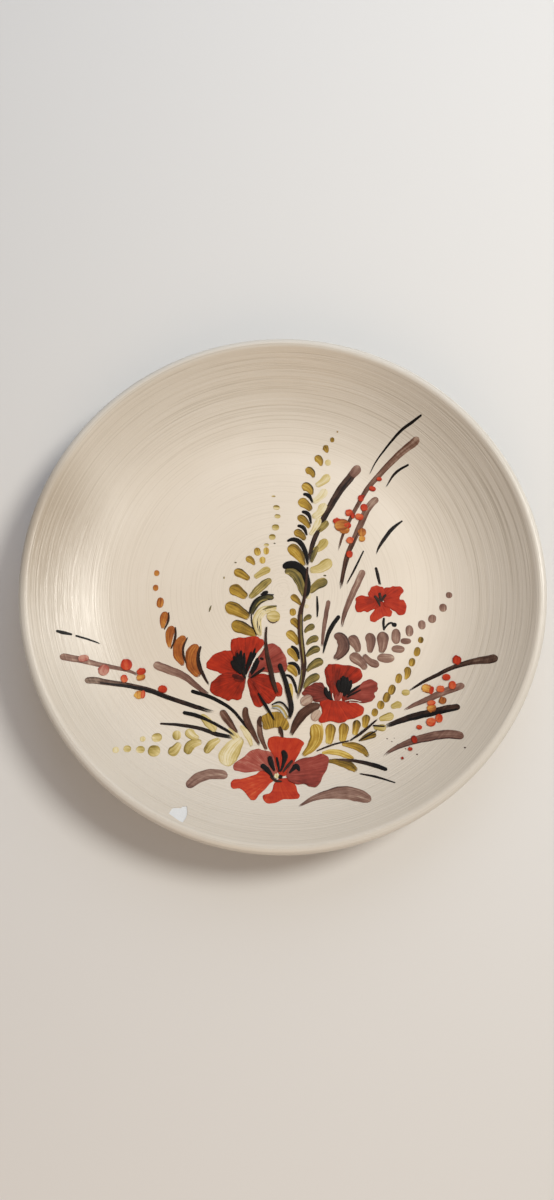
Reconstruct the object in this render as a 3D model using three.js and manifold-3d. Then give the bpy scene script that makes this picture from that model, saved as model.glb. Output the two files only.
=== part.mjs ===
// A shallow round ceramic plate: the fired body, the cream coat brushed over it,
// and the strokes of coloured paint that make the flowers, each as its own film.
// Millimetres, +Z up. The origin is the middle of the foot, on the table.
// +Y points to the top of the painting and +X to its right.

import * as THREE from 'three';
import { mergeVertices } from 'three/addons/utils/BufferGeometryUtils.js';
import Module from 'manifold-3d';

// The plate
const PLATE_DIAMETER = 300;
const PLATE_HEIGHT = 38;
const WELL_RADIUS = 80; // flat middle, out to where the wall starts to rise
const WELL_HEIGHT = 11.5; // painted face of the well above the table
const WALL = 7; // the round lip is as thick as the wall
const WALL_CURVE = 2.2; // power of the wall's rise: 1 is a cone, 2 a parabola

// The foot ring
const FOOT_OUTER_RADIUS = 84;
const FOOT_WIDTH = 8;
const FOOT_RECESS = 5.5; // depth of the hollow inside the ring
const FOOT_EDGE = 1.5; // bevel on the ring's two edges

// The coats
const COAT = 0.35; // cream ground coat
const PAINT = 0.3; // one film of coloured paint
const GAP = 0.3; // clearance between pieces that touch on the real plate
const COAT_STOP = 2.5; // bare ceramic between the foot ring and the coat

// The flake missing from the ground coat, near the lip at the lower left
const FLAKE_CENTRE = [-53, -130];
const FLAKE_WIDTH = 10.3;
const FLAKE_LENGTH = 10.5;

// The flowers are laid out in millimetres on a plate of this diameter,
// and they spread with the plate.
const LAYOUT_DIAMETER = 300;
const SPREAD = PLATE_DIAMETER / LAYOUT_DIAMETER;

// How finely the round surfaces are cut
const TURN_STEPS = 56;
const WALL_STEPS = 8;
const LIP_STEPS = 6;
const OUTSIDE_STEPS = 5;
const PETAL_SIDES = 20;
const STROKE_STEP = 7;

const COLOURS = {
  ceramic: { color: 0xe9e9ea, roughness: 0.55 },
  cream: { color: 0xdccfbb, roughness: 0.42 },
  red: { color: 0xb03c22, roughness: 0.5 },
  mauve_red: { color: 0x96463a, roughness: 0.5 },
  black: { color: 0x2c211b, roughness: 0.5 },
  brown: { color: 0x5c3a2c, roughness: 0.5 },
  mauve: { color: 0x7d5a4e, roughness: 0.5 },
  olive: { color: 0x85723f, roughness: 0.5 },
  ochre: { color: 0xa9812f, roughness: 0.5 },
  orange: { color: 0x98552a, roughness: 0.5 },
  pale: { color: 0xc9b578, roughness: 0.5 },
};

// ---------------------------------------------------------------- the profile

const lip = lipJoin();

// The wall rises as a power curve and runs into the round lip without a corner:
// the slope where they join is found by repeating the two conditions in turn.
function lipJoin() {
  const radius = WALL / 2;
  const centre = new THREE.Vector2(PLATE_DIAMETER / 2 - radius, PLATE_HEIGHT - radius);
  let slope = Math.PI / 4;
  let r = centre.x;
  let z = centre.y;
  for (let pass = 0; pass < 40; pass += 1) {
    r = centre.x - radius * Math.sin(slope);
    z = centre.y + radius * Math.cos(slope);
    slope = Math.atan((WALL_CURVE * (z - WELL_HEIGHT)) / (r - WELL_RADIUS));
  }
  return { radius, centre, slope, r, z };
}

// Share of the wall's width that lies inside radius r: 0 in the well, 1 at the lip
function wallShare(r) {
  return Math.max(0, (r - WELL_RADIUS) / (lip.r - WELL_RADIUS));
}

function faceHeight(r) {
  return WELL_HEIGHT + (lip.z - WELL_HEIGHT) * wallShare(r) ** WALL_CURVE;
}

function faceAngle(r) {
  const steepest = Math.tan(lip.slope);
  return Math.atan(steepest * wallShare(r) ** (WALL_CURVE - 1));
}

// Point of the section that lies `depth` under the painted face at radius r
function underFace(r, depth) {
  const angle = faceAngle(r);
  return new THREE.Vector2(
    r + depth * Math.sin(angle),
    faceHeight(r) - depth * Math.cos(angle),
  );
}

// Radius on the painted face whose point on the outside of the wall has this radius
function faceRadiusAbove(outsideRadius) {
  let low = 0;
  let high = lip.r;
  for (let pass = 0; pass < 40; pass += 1) {
    const middle = (low + high) / 2;
    if (underFace(middle, WALL).x < outsideRadius) {
      low = middle;
    } else {
      high = middle;
    }
  }
  return low;
}

// Half section of the plate, `depth` inside its finished surface: from the middle
// of the well up the wall, over the lip and down the outside to the coat's edge.
function halfSection(depth) {
  const points = [new THREE.Vector2(0, WELL_HEIGHT - depth)];
  for (let i = 0; i <= WALL_STEPS; i += 1) {
    const r = THREE.MathUtils.lerp(WELL_RADIUS, lip.r, i / WALL_STEPS);
    points.push(underFace(r, depth));
  }
  for (let i = 1; i < LIP_STEPS; i += 1) {
    const angle = Math.PI / 2 + lip.slope - (Math.PI * i) / LIP_STEPS;
    const arm = lip.radius - depth;
    points.push(new THREE.Vector2(
      lip.centre.x + arm * Math.cos(angle),
      lip.centre.y + arm * Math.sin(angle),
    ));
  }
  const coatEdge = faceRadiusAbove(FOOT_OUTER_RADIUS + COAT_STOP);
  for (let i = 0; i <= OUTSIDE_STEPS; i += 1) {
    const r = THREE.MathUtils.lerp(lip.r, coatEdge, i / OUTSIDE_STEPS);
    points.push(underFace(r, WALL - depth));
  }
  return points;
}

// Turned about the plate's upright axis; the section runs from the bottom up.
function turned(section) {
  const geometry = new THREE.LatheGeometry(section, TURN_STEPS);
  geometry.rotateX(Math.PI / 2);
  return geometry;
}

function plateBody() {
  const depth = COAT + GAP;
  const footTop = underFace(faceRadiusAbove(FOOT_OUTER_RADIUS), WALL - depth);
  const footInner = FOOT_OUTER_RADIUS - FOOT_WIDTH;
  const foot = [
    new THREE.Vector2(0, FOOT_RECESS),
    new THREE.Vector2(footInner, FOOT_RECESS),
    new THREE.Vector2(footInner, FOOT_EDGE),
    new THREE.Vector2(footInner + FOOT_EDGE, 0),
    new THREE.Vector2(FOOT_OUTER_RADIUS - FOOT_EDGE, 0),
    new THREE.Vector2(FOOT_OUTER_RADIUS, FOOT_EDGE),
    new THREE.Vector2(FOOT_OUTER_RADIUS, footTop.y),
  ];
  return turned([...foot, ...halfSection(depth).reverse()]);
}

function groundCoat() {
  return turned([...halfSection(COAT), ...halfSection(0).reverse()]);
}

// ------------------------------------------------------------ the missing flake

// The flake's outline, a kite pointed at its upper right, as thick as the wall
// and standing square to the painted face
function flakeCutter() {
  const [x, y] = FLAKE_CENTRE.map((value) => value * SPREAD);
  const w = FLAKE_WIDTH / 2;
  const h = FLAKE_LENGTH / 2;
  const outline = new THREE.Shape();
  outline.moveTo(-w, -0.1 * h);
  outline.lineTo(-0.6 * w, 0.62 * h);
  outline.lineTo(0.35 * w, 0.7 * h);
  outline.lineTo(0.9 * w, h);
  outline.quadraticCurveTo(1.05 * w, -0.3 * h, 0.45 * w, -h);
  outline.quadraticCurveTo(-0.2 * w, -0.8 * h, -w, -0.1 * h);
  const geometry = new THREE.ExtrudeGeometry(outline, {
    depth: WALL,
    bevelEnabled: false,
    curveSegments: 4,
  });
  geometry.translate(0, 0, -WALL / 2);
  const r = Math.hypot(x, y);
  const inwards = new THREE.Vector3(-x / r, -y / r, 0);
  const sideways = new THREE.Vector3(0, 0, 1).cross(inwards);
  geometry.applyMatrix4(new THREE.Matrix4().makeRotationAxis(sideways, faceAngle(r)));
  geometry.translate(x, y, faceHeight(r));
  return geometry;
}

function toManifold(wasm, geometry) {
  const bare = geometry.clone();
  bare.deleteAttribute('normal');
  bare.deleteAttribute('uv');
  const merged = mergeVertices(bare, 1e-4);
  const index = merged.index.array;
  const triVerts = [];
  for (let i = 0; i < index.length; i += 3) {
    const [a, b, c] = index.slice(i, i + 3);
    if (a !== b && b !== c && c !== a) {
      triVerts.push(a, b, c);
    }
  }
  return new wasm.Manifold(new wasm.Mesh({
    numProp: 3,
    vertProperties: Float32Array.from(merged.attributes.position.array),
    triVerts: Uint32Array.from(triVerts),
  }));
}

async function cutAway(geometry, cutter) {
  const wasm = await Module();
  wasm.setup();
  const result = toManifold(wasm, geometry).subtract(toManifold(wasm, cutter)).getMesh();
  const cut = new THREE.BufferGeometry();
  cut.setAttribute('position', new THREE.BufferAttribute(result.vertProperties, result.numProp));
  cut.setIndex(new THREE.BufferAttribute(result.triVerts, 1));
  cut.computeVertexNormals();
  return cut;
}

// ------------------------------------------------------------- films of paint

// Point over the painted face, `lift` above it along its normal
function overFace(point, lift) {
  const r = point.length();
  const angle = faceAngle(r);
  const inwards = r > 0 ? point.clone().multiplyScalar(-1 / r) : new THREE.Vector2();
  return new THREE.Vector3(
    point.x + lift * Math.sin(angle) * inwards.x,
    point.y + lift * Math.sin(angle) * inwards.y,
    faceHeight(r) + lift * Math.cos(angle),
  );
}

// A closed film from a flat sheet of triangles laid on the painted face. The
// triangles and the border run anticlockwise. Films that cross lie in layers.
function film(points, triangles, border, layer) {
  const lift = GAP + layer * (PAINT + GAP);
  const under = points.map((point) => overFace(point, lift));
  const over = points.map((point) => overFace(point, lift + PAINT));
  const count = points.length;
  const index = [];
  for (const [a, b, c] of triangles) {
    index.push(a, c, b);
    index.push(a + count, b + count, c + count);
  }
  border.forEach((a, i) => {
    const b = border[(i + 1) % border.length];
    index.push(a, b, b + count);
    index.push(a, b + count, a + count);
  });
  const geometry = new THREE.BufferGeometry();
  geometry.setFromPoints([...under, ...over]);
  geometry.setIndex(index);
  geometry.computeVertexNormals();
  return geometry;
}

// A brush stroke along a smooth path from its head to its tail, with its width
// at the head, the middle and the tail
function stroke({ path, width, layer = 0 }) {
  const scaled = path.map(([x, y]) => new THREE.Vector3(x * SPREAD, y * SPREAD, 0));
  const curve = new THREE.CatmullRomCurve3(scaled, false, 'centripetal');
  const steps = Math.max(4, Math.ceil(curve.getLength() / STROKE_STEP));
  const [head, middle, tail] = width.map((value) => value * SPREAD);
  const right = [];
  const left = [];
  for (let i = 0; i <= steps; i += 1) {
    const t = i / steps;
    const centre = curve.getPointAt(t);
    const along = curve.getTangentAt(t);
    const straight = THREE.MathUtils.lerp(head, tail, t);
    const swell = 4 * t * (1 - t) * (middle - (head + tail) / 2);
    const round = i === 0 ? 0.6 : 1;
    const half = (round * (straight + swell)) / 2;
    right.push(new THREE.Vector2(centre.x + half * along.y, centre.y - half * along.x));
    left.push(new THREE.Vector2(centre.x - half * along.y, centre.y + half * along.x));
  }
  const count = steps + 1;
  const triangles = [];
  for (let i = 0; i < steps; i += 1) {
    triangles.push([i, i + 1, count + i + 1]);
    triangles.push([i, count + i + 1, count + i]);
  }
  const rightSide = right.map((_, i) => i);
  const leftSide = left.map((_, i) => count + i);
  return film([...right, ...left], triangles, [...rightSide, ...leftSide.reverse()], layer);
}

// A petal or leaf with a smooth outline, cut in two rings about its middle so
// that it follows the hollow of the plate
function petal({ outline, layer = 0 }) {
  const corners = outline.map(([x, y]) => new THREE.Vector3(x * SPREAD, y * SPREAD, 0));
  const curve = new THREE.CatmullRomCurve3(corners, true, 'centripetal');
  const edge = curve.getSpacedPoints(PETAL_SIDES).slice(0, PETAL_SIDES)
    .map((point) => new THREE.Vector2(point.x, point.y));
  if (THREE.ShapeUtils.isClockWise(edge)) {
    edge.reverse();
  }
  const centre = new THREE.Vector2();
  edge.forEach((point) => centre.add(point));
  centre.divideScalar(edge.length);
  const ring = edge.map((point) => point.clone().lerp(centre, 0.5));
  const triangles = [];
  const border = [];
  for (let i = 0; i < PETAL_SIDES; i += 1) {
    const a = 1 + i;
    const b = 1 + ((i + 1) % PETAL_SIDES);
    triangles.push([0, a, b]);
    triangles.push([a, a + PETAL_SIDES, b + PETAL_SIDES]);
    triangles.push([a, b + PETAL_SIDES, b]);
    border.push(a + PETAL_SIDES);
  }
  return film([centre, ...ring, ...edge], triangles, border, layer);
}

// ------------------------------------------------------------------ the flowers

// Petals of the four poppies: outlines in millimetres on the laid-out plate
const PETALS = {
  poppy_low: [
    { name: 'petal_top', colour: 'red', layer: 1,
      outline: [[-5.5, -87.5], [4, -86.3], [13.5, -88], [13.5, -92], [8, -101], [1, -106], [-1.5, -98]] },
    { name: 'petal_left', colour: 'mauve_red',
      outline: [[-25, -105], [-19, -97.5], [-12, -93], [-4, -96.5], [-2, -105], [-9, -105.3], [-17, -106]] },
    { name: 'petal_lower_left', colour: 'red', layer: 1,
      outline: [[-26, -113], [-17, -109.7], [-9, -105.8], [-2, -110], [-13, -121.7], [-20, -115.8]] },
    { name: 'petal_lower_right', colour: 'red',
      outline: [[-8, -120.5], [-1, -111.5], [6, -109.5], [12.8, -118.5], [5, -120.7], [-5, -122.8]] },
    { name: 'petal_right', colour: 'mauve_red', layer: 2,
      outline: [[4, -108.5], [10, -100], [20, -96.5], [28.3, -97], [28, -103.5], [19, -113.6], [10, -112]] },
  ],
  poppy_left: [
    { name: 'petal_top', colour: 'red', layer: 1,
      outline: [[-29.4, -33], [-25, -28.8], [-15, -28], [-10.3, -31], [-14, -38], [-20, -48], [-27, -41]] },
    { name: 'petal_left', colour: 'red',
      outline: [[-43.3, -46], [-40, -41], [-32, -36.7], [-27, -41], [-22.5, -49], [-36, -50.2]] },
    { name: 'petal_lower_left', colour: 'red', layer: 1,
      outline: [[-40.3, -58], [-32, -50.5], [-22, -51], [-21, -58], [-23, -65.3], [-30, -66], [-39, -62]] },
    { name: 'petal_lower_right', colour: 'red',
      outline: [[-18.7, -55], [-13, -51], [-6.5, -51], [-2, -61], [-7, -67.5], [-13, -69.3], [-16.5, -63]] },
    { name: 'petal_right', colour: 'mauve_red', layer: 2,
      outline: [[-17, -51.5], [-12, -39], [-8, -33], [-2, -32.6], [4, -43], [2, -48.5], [-8, -48.8]] },
  ],
  poppy_right: [
    { name: 'petal_top', colour: 'red',
      outline: [[26.2, -47], [29, -43.3], [38, -43.2], [47.3, -47], [44, -53.5], [36, -59.5], [29, -58]] },
    { name: 'petal_right', colour: 'mauve_red', layer: 1,
      outline: [[37, -61.5], [45, -55.5], [52, -51.5], [57, -55.5], [53, -63.8], [44, -64.6]] },
    { name: 'petal_bottom', colour: 'red', layer: 2,
      outline: [[24, -66], [33, -63.8], [46, -66], [48.8, -69.5], [38, -76], [24, -76.2], [25, -71]] },
    { name: 'petal_left', colour: 'mauve_red', layer: 1,
      outline: [[13.5, -59], [18, -55.5], [23.5, -54], [29.5, -62.5], [24, -65.3], [16, -63.5]] },
  ],
  poppy_small: [
    { name: 'petals', colour: 'red',
      outline: [
        [52, 2], [56, 4.6], [60, 3], [66, 4.6], [71.5, 2.5], [69.5, -3.2], [73.3, -7], [70, -12.6],
        [64, -9], [64, -13.3], [57, -16], [53.3, -17.2], [55, -10], [48, -11.3], [43.6, -8], [46, -1.8],
        [51, -2],
      ] },
  ],
};

// Long strokes and the larger leaves: path from head to tail, and the widths
const STROKES = {
  // the long grasses of the upper right
  reed_black_tip: { colour: 'black', width: [1.6, 1.6, 0.8],
    path: [[80, 106.5], [67, 97.5], [51, 74]] },
  reed_brown_long: { colour: 'brown', width: [5, 3.2, 1.5],
    path: [[79, 93.5], [60, 77], [46, 57], [33, 25]] },
  reed_dark_thick: { colour: 'black', width: [4.5, 4, 2.5],
    path: [[44, 78], [33, 63], [22, 41], [16, 20]] },
  reed_brown_middle: { colour: 'brown', width: [4, 3.5, 1.5], layer: 1,
    path: [[56, 58.5], [47, 45], [39, 25], [34.5, 3]] },
  reed_black_curved: { colour: 'black', width: [1, 2.2, 0.8],
    path: [[71, 45], [64, 38.5], [57, 28]] },
  reed_black_thin: { colour: 'black', width: [1, 1.2, 0.8],
    path: [[48, 26], [43, 15], [38, 5]] },
  reed_mauve: { colour: 'mauve', width: [3.8, 3.2, 1.5],
    path: [[48, 14], [42, 0], [36, -20]] },
  reed_mauve_thin: { colour: 'mauve', width: [2.2, 2, 1],
    path: [[27, -5], [25, -18], [24, -33]] },
  reed_dark_low: { colour: 'black', width: [2.5, 2, 0.8], layer: 1,
    path: [[34, -14], [28, -25], [24.8, -37]] },
  // the grasses of the left
  grass_faded: { colour: 'mauve', width: [4.5, 2.6, 1.4],
    path: [[-125, -45], [-105, -47.5], [-82, -53]] },
  grass_dark_long: { colour: 'black', width: [3.8, 2.8, 1.8],
    path: [[-111, -58], [-75, -61.5], [-36, -73.5]] },
  grass_mauve: { colour: 'mauve', width: [4, 3.6, 1.6],
    path: [[-74, -45.5], [-58, -52], [-42, -62]] },
  grass_black_upper: { colour: 'black', width: [2.2, 1.8, 1.5],
    path: [[-51, -61], [-33, -67.5], [-20, -79]] },
  grass_black_lower: { colour: 'black', width: [2.2, 1.5, 0.8], layer: 1,
    path: [[-55, -73.5], [-42, -77], [-25, -86]] },
  grass_grey: { colour: 'black', width: [1.5, 2.2, 2.2],
    path: [[-68, -80.5], [-48, -82], [-27, -87.5]] },
  leaf_brown_upper: { colour: 'brown', width: [4.5, 3.5, 1], layer: 2,
    path: [[-32.5, -72.5], [-28.5, -78], [-24, -83]] },
  leaf_brown_lower: { colour: 'brown', width: [3.8, 3.5, 1.5], layer: 2,
    path: [[-18.5, -69], [-18, -79], [-10, -91]] },
  // the grasses of the right
  blade_dark_long: { colour: 'black', width: [4.5, 2.2, 1],
    path: [[123.5, -38.5], [100, -43.5], [74, -58]] },
  blade_mauve_upper: { colour: 'mauve', width: [4, 3, 1],
    path: [[105, -54.5], [88, -61], [72, -68.7]] },
  blade_black_thick: { colour: 'black', width: [4, 4.2, 2.5],
    path: [[102, -67], [82, -71.5], [61, -78.5]] },
  blade_mauve_lower: { colour: 'mauve', width: [5, 4.5, 1],
    path: [[102.5, -83.5], [84, -84.5], [60, -95.5]] },
  blade_black_short: { colour: 'black', width: [2.4, 1.8, 1], layer: 1,
    path: [[61.5, -103], [48, -99], [34, -98]] },
  // the two strokes at the bottom
  low_mauve_short: { colour: 'mauve', width: [5.5, 5.5, 5],
    path: [[-48.5, -115], [-40, -109], [-29, -108.5]] },
  low_mauve_long: { colour: 'mauve', width: [6.5, 7, 1],
    path: [[49, -118.5], [35, -116.5], [13, -124]] },
  // stems
  poppy_left_stem: { colour: 'brown', width: [1, 2.8, 2], layer: 3,
    path: [[-8.7, -22], [-7, -42], [-1.5, -62]] },
  stem_curved: { colour: 'black', width: [2.5, 3, 1.5], layer: 4,
    path: [[-0.5, -44], [3.5, -56], [7, -70], [6, -76]] },
  fern_spine: { colour: 'brown', width: [1.6, 3.2, 2], layer: 3,
    path: [[15, 15], [12, -10], [12, -30], [13.5, -45], [10.5, -64]] },
  // the larger leaves
  leaf_red_brown: { colour: 'brown', width: [3.5, 6, 2], layer: 3,
    path: [[23, -67.5], [13, -74], [7.5, -84]] },
  leaf_ochre_hanging: { colour: 'ochre', width: [8, 7, 2],
    path: [[20, -79.5], [21.5, -86], [14, -96]] },
  leaf_ochre_lower: { colour: 'ochre', width: [7, 8, 3],
    path: [[44, -103], [37, -98], [26, -95.5]] },
  leaf_ochre_upper: { colour: 'ochre', width: [3.5, 5, 2],
    path: [[51, -95], [45, -90.5], [36, -90.5]] },
  leaf_pale_round: { colour: 'pale', width: [8, 11, 6],
    path: [[-28, -102], [-26, -95], [-21, -88.5]] },
  leaf_fern_great: { colour: 'olive', width: [6, 8, 3],
    path: [[0, 13.5], [9, 10.5], [13, -3]] },
  leaf_fern_upper: { colour: 'ochre', width: [5, 7, 2],
    path: [[0.5, 28.5], [8, 26], [13, 16]] },
  leaf_side_low: { colour: 'ochre', width: [7, 8, 2],
    path: [[-28, -21], [-21, -23], [-13, -27.5]] },
  leaf_side_middle: { colour: 'ochre', width: [6, 8.5, 4], layer: 1,
    path: [[-33, -10], [-26, -12], [-18.5, -16]] },
  leaf_side_high: { colour: 'ochre', width: [6, 8, 5],
    path: [[-31.5, 1.5], [-26, -0.5], [-21, -3]] },
  leaf_mauve_crescent: { colour: 'mauve', width: [4, 7, 5],
    path: [[32, -25.5], [36.5, -32], [32, -40]] },
  leaf_orange_brown: { colour: 'orange', width: [5, 8, 4],
    path: [[-49, -34], [-51, -43], [-47, -52]] },
};

// The arched leaf between the two lower poppies
const ARCHED_LEAF = {
  name: 'leaf_ochre_arch',
  colour: 'ochre',
  layer: 2,
  outline: [[-9.5, -76], [-6, -72.5], [0, -72], [4.8, -76], [5, -81], [0, -80.7], [-8, -81.7]],
};

// ----------------------------------------------------------------- the assembly

const plate = new THREE.Group();

function add(name, geometry, colour) {
  const material = new THREE.MeshStandardMaterial({ ...COLOURS[colour], metalness: 0 });
  const mesh = new THREE.Mesh(geometry, material);
  mesh.name = name;
  plate.add(mesh);
}

add('plate_body', plateBody(), 'ceramic');
add('ground_coat', await cutAway(groundCoat(), flakeCutter()), 'cream');

for (const [flower, petals] of Object.entries(PETALS)) {
  for (const piece of petals) {
    add(`${flower}_${piece.name}`, petal(piece), piece.colour);
  }
}

for (const [name, piece] of Object.entries(STROKES)) {
  add(name, stroke(piece), piece.colour);
}

add(ARCHED_LEAF.name, petal(ARCHED_LEAF), ARCHED_LEAF.colour);

export default plate;
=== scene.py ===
"""A hand painted ceramic plate: the fired body, the cream coat brushed round it,
and the poppies, grasses and ferns laid on the coat in strokes of thick paint."""

import math
import random

import bpy
import numpy as np
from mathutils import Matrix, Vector


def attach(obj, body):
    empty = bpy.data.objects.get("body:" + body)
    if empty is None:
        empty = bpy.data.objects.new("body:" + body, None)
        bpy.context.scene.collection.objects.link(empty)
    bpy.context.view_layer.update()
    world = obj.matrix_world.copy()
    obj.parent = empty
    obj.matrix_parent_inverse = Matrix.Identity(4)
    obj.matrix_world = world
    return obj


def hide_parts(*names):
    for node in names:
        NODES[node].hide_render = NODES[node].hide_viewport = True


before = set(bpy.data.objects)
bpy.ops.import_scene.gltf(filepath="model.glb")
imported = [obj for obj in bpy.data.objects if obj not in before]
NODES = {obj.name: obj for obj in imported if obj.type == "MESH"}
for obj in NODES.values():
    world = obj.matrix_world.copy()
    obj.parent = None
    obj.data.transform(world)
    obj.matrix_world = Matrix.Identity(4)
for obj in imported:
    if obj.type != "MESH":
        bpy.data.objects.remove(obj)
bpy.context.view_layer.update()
MM = 0.001

# ------------------------------------------------------------------ sizes, mm


def corners(node):
    """(distance from the plate's axis, height) of every corner of a CAD node."""
    return [(math.hypot(v.co.x, v.co.y) / MM, v.co.z / MM) for v in NODES[node].data.vertices]


COAT_CORNERS = corners("ground_coat")
BODY_CORNERS = corners("plate_body")
PLATE_RADIUS = max(r for r, z in COAT_CORNERS)
PLATE_TOP = max(z for r, z in COAT_CORNERS)
WELL_HEIGHT = max(z for r, z in COAT_CORNERS if r < 1)
WELL_RADIUS = max(r for r, z in COAT_CORNERS if abs(z - WELL_HEIGHT) < 0.01)
FOOT_FLAT = [r for r, z in BODY_CORNERS if z < 0.01]
FOOT_RECESS = min(z for r, z in BODY_CORNERS if r < 1)
# These follow the plate's own design, because no corner of a node gives them.
WALL = 7.0
LIP = WALL / 2
WALL_CURVE = 2.2
COAT = 0.35
FOOT_EDGE = 1.5
COAT_STOP = 2.5

# The painting is laid out in millimetres on a plate of this radius, and spreads with it.
LAYOUT_RADIUS = 150.0
SPREAD = PLATE_RADIUS / LAYOUT_RADIUS

# The lip is a half round. The wall's curve runs into it at LIP_SLOPE.
LIP_CENTRE = (PLATE_RADIUS - LIP, PLATE_TOP - LIP)
LIP_SLOPE = math.pi / 4
for _ in range(40):
    LIP_START = LIP_CENTRE[0] - LIP * math.sin(LIP_SLOPE)
    LIP_START_HEIGHT = LIP_CENTRE[1] + LIP * math.cos(LIP_SLOPE)
    rise = LIP_START_HEIGHT - WELL_HEIGHT
    LIP_SLOPE = math.atan(WALL_CURVE * rise / (LIP_START - WELL_RADIUS))

# The brush went round as the plate turned, and left fine ridges in the coat.
RIDGE_STEP = 0.85
RIDGE_WELL = 0.008
RIDGE_WALL = 0.045
RIDGE_DRAW = random.Random(11)
RIDGES = [RIDGE_DRAW.uniform(-1, 1) * RIDGE_DRAW.choice([0.5, 0.6, 0.7, 1.4]) for _ in range(400)]


def wall_share(r):
    return max(0.0, (r - WELL_RADIUS) / (LIP_START - WELL_RADIUS))


def smooth_height(r):
    return WELL_HEIGHT + (LIP_START_HEIGHT - WELL_HEIGHT) * wall_share(r) ** WALL_CURVE


def slope(r):
    return math.atan(math.tan(LIP_SLOPE) * wall_share(r) ** (WALL_CURVE - 1))


def ridge(r):
    """Height of the brushed ridges, which are lower in the well than on the wall."""
    size = RIDGE_WELL + (RIDGE_WALL - RIDGE_WELL) * min(1.0, wall_share(r) * 2.5)
    return size * RIDGES[int(r / RIDGE_STEP) % len(RIDGES)]


def inside_face(depth, ridged=True):
    """Section of the painted side from the axis to the lip, `depth` under its face."""
    points = [(0.0, WELL_HEIGHT - depth)]
    for step in range(1, int(LIP_START / RIDGE_STEP) + 1):
        r = step * RIDGE_STEP
        lift = ridge(r) if ridged else 0.0
        points.append((r + depth * math.sin(slope(r)),
                       smooth_height(r) + lift - depth * math.cos(slope(r))))
    return points


def lip_face(depth, steps=14):
    """Section of the round lip, from its inside to its outside."""
    arm = LIP - depth
    points = []
    for i in range(steps + 1):
        angle = math.pi / 2 + LIP_SLOPE - math.pi * i / steps
        points.append((LIP_CENTRE[0] + arm * math.cos(angle), LIP_CENTRE[1] + arm * math.sin(angle)))
    return points


def outside_face(depth, stop, ridged=True, steps=44):
    """Section of the wall's outside, from the lip down to radius `stop`."""
    points = []
    for i in range(1, steps + 1):
        r = LIP_START + (WELL_RADIUS - LIP_START) * i / steps
        lift = ridge(r * 1.7) if ridged else 0.0
        down = WALL - depth + lift
        point = (r + down * math.sin(slope(r)), smooth_height(r) - down * math.cos(slope(r)))
        if point[0] < stop:
            break
        points.append(point)
    return points


FACE_RADII, FACE_HEIGHTS = zip(*inside_face(0.0))


def coat_height(x, y):
    """Height of the coat's face in metres over points of the plate in metres."""
    return np.interp(np.hypot(x, y) / MM, FACE_RADII, FACE_HEIGHTS) * MM


# ----------------------------------------------------------------- materials


def linear(code, alpha=1.0):
    """Linear colour from a six figure colour code."""
    parts = [int(code[i:i + 2], 16) / 255 for i in (0, 2, 4)]
    return [c / 12.92 if c <= 0.04045 else ((c + 0.055) / 1.055) ** 2.4 for c in parts] + [alpha]


class Value:
    """A number that changes over the surface. Arithmetic on it adds Math nodes."""

    def __init__(self, shader, socket):
        self.shader = shader
        self.socket = socket

    def math(self, operation, a, b=None):
        inputs = {i: v for i, v in enumerate((a, b)) if v is not None}
        node = self.shader.node("ShaderNodeMath", {"operation": operation}, inputs)
        return Value(self.shader, node.outputs[0])

    def __add__(self, other):
        return self.math("ADD", self, other)

    def __radd__(self, other):
        return self.math("ADD", other, self)

    def __sub__(self, other):
        return self.math("SUBTRACT", self, other)

    def __rsub__(self, other):
        return self.math("SUBTRACT", other, self)

    def __mul__(self, other):
        return self.math("MULTIPLY", self, other)

    def __rmul__(self, other):
        return self.math("MULTIPLY", other, self)

    def __truediv__(self, other):
        return self.math("DIVIDE", self, other)

    def root(self):
        return self.math("SQRT", self)

    def between(self, low, high):
        """0 below low, 1 above high, and smooth from one to the other."""
        inputs = {"Value": self, "From Min": low, "From Max": high}
        settings = {"interpolation_type": "SMOOTHSTEP", "clamp": True}
        return Value(self.shader, self.shader.node("ShaderNodeMapRange", settings, inputs).outputs[0])


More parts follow.
